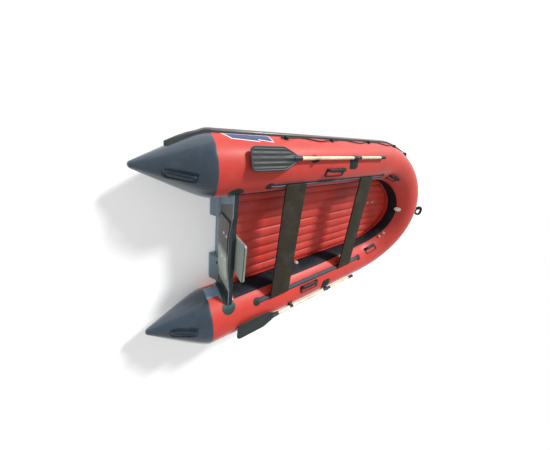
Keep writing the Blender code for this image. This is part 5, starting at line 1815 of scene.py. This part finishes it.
def add_eyelet(bm, spot):
    """Add an eyelet: a stepped round foot and an arch over the line."""
    for size, height in EYELET_LAYERS:
        add_pad(bm, disc(size, 32), spot, height, 0.001, step=0.009, along_step=0.02)
    turns = [math.radians(mix(ARCH_LOW, ARCH_HIGH, step / 12)) for step in range(13)]
    for shift, radius in ARCH_BARS:
        arch = [
            spot(shift, ARCH_REACH * math.cos(turn), LINE_HELD_LIFT + ARCH_REACH * math.sin(turn))
            for turn in turns
        ]
        add_bar(bm, arch, radius, 12)


class BOAT_OT_grab_lines(bpy.types.Operator):
    """Run the grab lines through their eyelets"""

    bl_idname = "boat.grab_lines"
    bl_label = "Grab lines"

    def execute(self, context):
        radius = tuned(context, "boat_trim").line_radius
        rubber = finish_of(context, "trim")
        for side, name in SIDES.items():
            for index, (along, angle) in enumerate(EYELETS, 1):
                bm = bmesh.new()
                add_eyelet(bm, skin_spot(along, side, angle))
                label = "line_eyelet_%s_%d" % (name, index)
                finish_piece(label + "_moulding", bm, rubber, replaces=[label], slot="trim_black")
            start, end = LINE_START[0], LINE_END[0]
            points = [
                line_point(mix(start, end, step / LINE_STEPS), side, radius)
                for step in range(LINE_STEPS + 1)
            ]
            bm = bmesh.new()
            add_bar(bm, points, radius, 10)
            for end_point, next_point in ((points[0], points[3]), (points[-1], points[-4])):
                axis = (next_point - end_point).normalized()
                add_stud(bm, end_point - axis * STOPPER_PAST, axis, STOPPER_RADIUS, STOPPER_LENGTH,
                         16, 0.9)
            finish_piece("grab_line_%s_rope" % name, bm, finish_of(context, "line"),
                         replaces=["grab_line_" + name], slot="line_black")
        return {"FINISHED"}


TOW_EYE_ANGLE = 50.0
TOW_EYE_BAR = 0.0152
TOW_EYE_ROOT = 0.003

# Port half of the bar's line, as distances across and off the stem, and its top
TOW_EYE_HALF = [(0.0185, 0.012), (0.033, 0.034), (0.0505, 0.057), (0.0575, 0.079),
                (0.0485, 0.096), (0.027, 0.1052)]
TOW_EYE_TOP = (0.0, 0.1062)

# Each layer of the pad: its length, width and height
TOW_EYE_LAYERS = ((0.1, 0.11, 0.0028), (0.078, 0.085, 0.0052))

# The web at the eye's root and the thicker port cheek, both flat bars of this radius
WEB_RADIUS = 0.0084
WEB_WIDTHS, WEB_REACH = (2.9, 2.5), (-0.001, 0.047)
CHEEK_PLACE, CHEEK_REACH = 0.035, (0.018, 0.088)
CHEEK_WIDTH, CHEEK_SWELL, CHEEK_FLATNESS = 0.4, 2.4, 0.8


class BOAT_OT_towing_eye(bpy.types.Operator):
    """Make the towing eye on the stem"""

    bl_idname = "boat.towing_eye"
    bl_label = "Towing eye"

    def execute(self, context):
        spot = skin_spot(BOW_MIDDLE, PORT, TOW_EYE_ANGLE)
        place = station(BOW_MIDDLE, PORT)
        turn = math.radians(TOW_EYE_ANGLE)
        away = place.outward * math.sin(turn) + place.up * math.cos(turn)
        lower = away.cross(ACROSS).normalized()
        root = place.skin(TOW_EYE_ANGLE, TOW_EYE_ROOT)
        bm = bmesh.new()
        for length, width, height in TOW_EYE_LAYERS:
            add_pad(bm, rectangle(length, width), spot, height, 0.0012, 0.022, 6, gap=0.0004,
                    along_step=0.012)
        starboard_half = [(-y, out) for y, out in TOW_EYE_HALF]
        shape = [*starboard_half, TOW_EYE_TOP, *reversed(TOW_EYE_HALF)]
        add_bar(bm, [root + ACROSS * y + away * out for y, out in shape], TOW_EYE_BAR, 16)

        def web(u, x, y):
            across = x * mix(*WEB_WIDTHS, u)
            return root + ACROSS * across + away * mix(*WEB_REACH, u) + lower * y

        def cheek(u, x, y):
            swell = CHEEK_SWELL * math.sqrt(max(0.0, 1 - (2 * u - 1) ** 2))
            across = CHEEK_PLACE + x * (CHEEK_WIDTH + swell)
            return root + ACROSS * across + away * mix(*CHEEK_REACH, u) + lower * y * CHEEK_FLATNESS

        add_round(bm, web, 6, 24, lambda u: WEB_RADIUS)
        add_round(bm, cheek, 14, 24, lambda u: WEB_RADIUS)
        finish_piece("towing_eye_moulding", bm, finish_of(context, "trim"),
                     replaces=["towing_eye"], slot="trim_black")
        return {"FINISHED"}


# Valves

VALVE_RIBS = 16


def add_valve(bm, centre, axis, radius, height):
    """Add a round valve: a flange, a collar and a ribbed cap."""
    add_stud(bm, centre, axis, radius, height * 0.3, 32, 0.97)
    add_stud(bm, centre, axis, radius * 0.78, height * 0.6, 32, 0.95)
    add_stud(bm, centre, axis, radius * 0.62, height, 32, 0.94)
    side_way = axis.cross(Vector((0.3, 0.2, 1.0))).normalized()
    other_way = axis.cross(side_way)
    for index in range(VALVE_RIBS):
        turn = 2 * math.pi * index / VALVE_RIBS
        rib = centre + (side_way * math.cos(turn) + other_way * math.sin(turn)) * radius * 0.6
        ends = [rib + axis * height * 0.55, rib + axis * height * 0.97]
        add_bar(bm, ends, radius * 0.045, 6, smooth=False)


def add_skin_valve(bm, spot, radius, height, lift):
    """Add a valve on the middle of the skin that spot describes."""
    add_valve(bm, spot(0, 0, lift), off_skin(spot), radius, height)


# Each valve on a tube: its place along the tube and its angle, its radius, height and seat
BOW_VALVE_PLACE, BOW_VALVE_SIZE = (3.028, -63.5), (0.030, 0.0095, 0.0045)
SIDE_VALVE_PLACE, SIDE_VALVE_SIZE = (0.99, -88.0), (0.025, 0.0115, 0.003)
TUBE_VALVES_PLACE, TUBE_VALVE_SIZE = (2.564, -60.0), (0.02, 0.0105, 0.002)
PAIR_SHIFTS = (-0.05, 0.05)

# The bow valve's pad climbs from the tube's skin onto the band between these angles
BOW_PAD_RADIUS, BOW_PAD_THICKNESS = 0.0415, 0.0032
BOW_PAD_GAPS, BOW_PAD_CLIMB = (0.0012, 0.0030), (63.0, 66.5)
TUBE_PAD_SIZE, TUBE_PAD_THICKNESS, TUBE_PAD_GAP = (0.148, 0.048), 0.0022, 0.001
FLOOR_PAD_THICKNESS, FLOOR_PAD_GAP = 0.0024, 0.0006
FLOOR_VALVE_RADIUS, FLOOR_VALVE_HEIGHT, FLOOR_VALVE_LIFT = 0.02, 0.0095, 0.0022
FLOOR_VALVE_CLIMB = 0.02


class BOAT_OT_valves(bpy.types.Operator):
    """Fit the valves at the bow, on the starboard side and on the floor"""

    bl_idname = "boat.valves"
    bl_label = "Valves"

    def execute(self, context):
        self.bow_valve(context)
        self.side_valve(context)
        self.tube_pair(context)
        self.floor_pair(context)
        return {"FINISHED"}

    def bow_valve(self, context):
        """The white valve at the bow, on a round pad."""
        bm = bmesh.new()
        along, angle = BOW_VALVE_PLACE
        spot = skin_spot(along, PORT, angle)

        def over_band(x, y, z):
            inboard = -(angle + math.degrees(y / TUBE_RADIUS))
            return spot(x, y, z + mix(*BOW_PAD_GAPS, smooth_step(*BOW_PAD_CLIMB, inboard)))

        add_pad(bm, disc(BOW_PAD_RADIUS, 44), over_band, BOW_PAD_THICKNESS, 0.0012, gap=0.0,
                step=0.007, along_step=0.012)
        add_skin_valve(bm, spot, *BOW_VALVE_SIZE)
        finish_piece("valve_bow_cap", bm, finish_of(context, "valve_white"),
                     replaces=["valve_bow"], slot="valve_white")

    def side_valve(self, context):
        """The grey valve low on the starboard tube's inner flank."""
        bm = bmesh.new()
        along, angle = SIDE_VALVE_PLACE
        add_skin_valve(bm, skin_spot(along, STARBOARD, angle), *SIDE_VALVE_SIZE)
        finish_piece("valve_side_cap", bm, finish_of(context, "valve_grey"),
                     replaces=["valve_side"], slot="valve_grey")

    def tube_pair(self, context):
        """The pair of grey valves on the starboard shoulder, on a pad of tube fabric."""
        along, angle = TUBE_VALVES_PLACE
        pad = bmesh.new()
        add_pad(pad, rectangle(*TUBE_PAD_SIZE), skin_spot(along, STARBOARD, angle),
                TUBE_PAD_THICKNESS, 0.001, 0.02, 6, gap=TUBE_PAD_GAP, along_step=0.012)
        finish_piece("valve_pair_tube_pad", pad, finish_of(context, "tube"), slot="tube_red")
        bm = bmesh.new()
        for shift in PAIR_SHIFTS:
            add_skin_valve(bm, skin_spot(along + shift, STARBOARD, angle), *TUBE_VALVE_SIZE)
        finish_piece("valve_pair_tube_caps", bm, finish_of(context, "valve_grey"),
                     replaces=["valve_pair_tube"], slot="valve_grey")

    def floor_pair(self, context):
        """The pair of grey valves on a rib of the floor, on a pad of floor fabric."""
        rib_rise = tuned(context, "boat_hull").rib_rise
        low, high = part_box("valve_pair_floor")
        middle = (low + high) / 2

        def floor_level(x):
            return FLOOR_TOP + rib_rise + floor_rise(x - HULL_ORIGIN.x) + HULL_ORIGIN.z

        bm = bmesh.new()
        corners = rectangle(high.x - low.x, high.y - low.y)
        add_slab(bm, corners, FLOOR_PAD_THICKNESS, 0.001, 0.02, 6)
        cut_across(bm, 0, 0.02)
        for vert in bm.verts:
            x, y, z = vert.co
            level = floor_level(middle.x + x)
            vert.co = Vector((middle.x + x, middle.y + y, level + FLOOR_PAD_GAP + z))
        finish_piece("valve_pair_floor_pad", bm, finish_of(context, "floor"), slot="floor_red")
        bm = bmesh.new()
        up = Vector((-FLOOR_VALVE_CLIMB, 0, high.x - low.x)).normalized()
        for shift in PAIR_SHIFTS:
            x = middle.x + shift
            foot = Vector((x, middle.y, floor_level(x) + FLOOR_VALVE_LIFT))
            add_valve(bm, foot, up, FLOOR_VALVE_RADIUS, FLOOR_VALVE_HEIGHT)
        finish_piece("valve_pair_floor_caps", bm, finish_of(context, "valve_grey"),
                     replaces=["valve_pair_floor"], slot="valve_grey")


# Studio

CAMERA_PLACE = HULL_ORIGIN + Vector((-0.41240, 1.05390, 1.41508))
CAMERA_RIGHT = Vector((0.825735, 0.120371, 0.551066))
CAMERA_DOWN = Vector((-0.081883, -0.941035, 0.328249))
CAMERA_AHEAD = Vector((0.558084, -0.316170, -0.767189))
FOCAL_PIXELS = 210.665
IMAGE_WIDTH, IMAGE_HEIGHT = 550, 450
PRINCIPAL_X, PRINCIPAL_Y = 277.933, 186.509
KEY_FROM = Vector((0.50, 0.72, 0.445))
STUDIO_FLOOR_COLOUR, STUDIO_FLOOR_GAP = (0.93, 0.93, 0.93), 0.0005


def plain_material(name, colour, roughness, glow):
    """A calm material for the studio, with a faint change of tone and a glow against hard shadows."""
    made = bpy.data.materials.new(name)
    made.use_nodes = True
    shader = Shader(made.node_tree)
    surface = made.node_tree.nodes["Principled BSDF"]
    place = shader.node("ShaderNodeTexCoord").outputs["Object"]
    tone = shader.noise(place, 0.8, 2.0)
    soft = tuple(value * 0.985 for value in colour)
    made.node_tree.links.new(
        shader.blend(tone, (*colour, 1.0), (*soft, 1.0)), surface.inputs["Base Color"]
    )
    surface.inputs["Roughness"].default_value = roughness
    surface.inputs["Specular IOR Level"].default_value = 0.1
    surface.inputs["Emission Color"].default_value = (1.0, 1.0, 1.0, 1.0)
    surface.inputs["Emission Strength"].default_value = glow
    return made


class BOAT_OT_stage(bpy.types.Operator):
    """Set up the floor, the light and the camera"""

    bl_idname = "boat.stage"
    bl_label = "Studio"

    def execute(self, context):
        settings = tuned(context, "boat_stage")
        bm = bmesh.new()
        bmesh.ops.create_grid(bm, x_segments=2, y_segments=2, size=settings.floor_size / 2)
        bmesh.ops.translate(bm, verts=bm.verts, vec=(0, 0, CAD_BOX[0].z - STUDIO_FLOOR_GAP))
        mesh = bpy.data.meshes.new("studio_floor")
        bm.to_mesh(mesh)
        bm.free()
        paper = plain_material("Studio floor", STUDIO_FLOOR_COLOUR, 0.9, settings.floor_glow)
        mesh.materials.append(paper)
        floor = bpy.data.objects.new("studio_floor", mesh)
        context.scene.collection.objects.link(floor)

        world = bpy.data.worlds.new("Studio sky")
        world.use_nodes = True
        sky = world.node_tree.nodes["Background"]
        sky.inputs["Color"].default_value = (1.0, 1.0, 1.0, 1.0)
        seen = world.node_tree.nodes.new("ShaderNodeLightPath")
        strength = world.node_tree.nodes.new("ShaderNodeMapRange")
        strength.inputs["To Min"].default_value = settings.sky_strength
        strength.inputs["To Max"].default_value = 1.0
        world.node_tree.links.new(seen.outputs["Is Camera Ray"], strength.inputs["Value"])
        world.node_tree.links.new(strength.outputs["Result"], sky.inputs["Strength"])
        context.scene.world = world
        context.scene.view_settings.view_transform = "Standard"

        key = bpy.data.lights.new("key_light", "SUN")
        key.energy = settings.key_strength
        key.angle = settings.key_spread
        lamp = bpy.data.objects.new("key_light", key)
        context.scene.collection.objects.link(lamp)
        lamp.rotation_mode = "QUATERNION"
        lamp.rotation_quaternion = KEY_FROM.to_track_quat("Z", "Y")

        data = bpy.data.cameras.new("photo_camera")
        data.sensor_width = 36.0
        data.lens = FOCAL_PIXELS * data.sensor_width / IMAGE_WIDTH
        data.shift_x = (IMAGE_WIDTH / 2 - PRINCIPAL_X) / IMAGE_WIDTH
        data.shift_y = (PRINCIPAL_Y - IMAGE_HEIGHT / 2) / IMAGE_WIDTH
        data.clip_start, data.clip_end = 0.02, 400.0
        camera = bpy.data.objects.new("photo_camera", data)
        context.scene.collection.objects.link(camera)
        turn = Matrix((CAMERA_RIGHT, -CAMERA_DOWN, -CAMERA_AHEAD)).transposed()
        camera.matrix_world = Matrix.Translation(CAMERA_PLACE) @ turn.to_4x4()
        context.scene.camera = camera
        return {"FINISHED"}


OPERATORS = (
    BOAT_OT_stage, BOAT_OT_tubes, BOAT_OT_cones, BOAT_OT_strakes, BOAT_OT_patches, BOAT_OT_floor,
    BOAT_OT_bands, BOAT_OT_guards, BOAT_OT_transom, BOAT_OT_rails, BOAT_OT_benches, BOAT_OT_oars,
    BOAT_OT_rowlocks, BOAT_OT_handles, BOAT_OT_grab_lines, BOAT_OT_towing_eye, BOAT_OT_valves,
)


class BOAT_PT_dressing(bpy.types.Panel):
    """Sizes, colours and steps of the boat's dressing"""

    bl_idname = "BOAT_PT_dressing"
    bl_label = "Inflatable Boat"
    bl_space_type = "VIEW_3D"
    bl_region_type = "UI"
    bl_category = "Boat"

    def draw(self, context):
        for group, kind in SETTINGS.items():
            box = self.layout.box()
            box.label(text=kind.bl_rna.name)
            values = getattr(context.scene, group)
            for key in kind.__annotations__:
                box.prop(values, key)
        for operator in OPERATORS:
            self.layout.operator(operator.bl_idname)


CLASSES = (*SETTINGS.values(), *OPERATORS, BOAT_PT_dressing)


def register():
    """Register the classes and hang the settings on the scene."""
    for each in CLASSES:
        bpy.utils.register_class(each)
    for group, kind in SETTINGS.items():
        setattr(bpy.types.Scene, group, PointerProperty(type=kind))


def unregister():
    """Take the settings and the classes away again."""
    for group in SETTINGS:
        delattr(bpy.types.Scene, group)
    for each in reversed(CLASSES):
        bpy.utils.unregister_class(each)


def main():
    register()
    for operator in OPERATORS:
        step = operator.bl_idname.split(".")[1]
        getattr(bpy.ops.boat, step)()


if __name__ == "__main__":
    main()
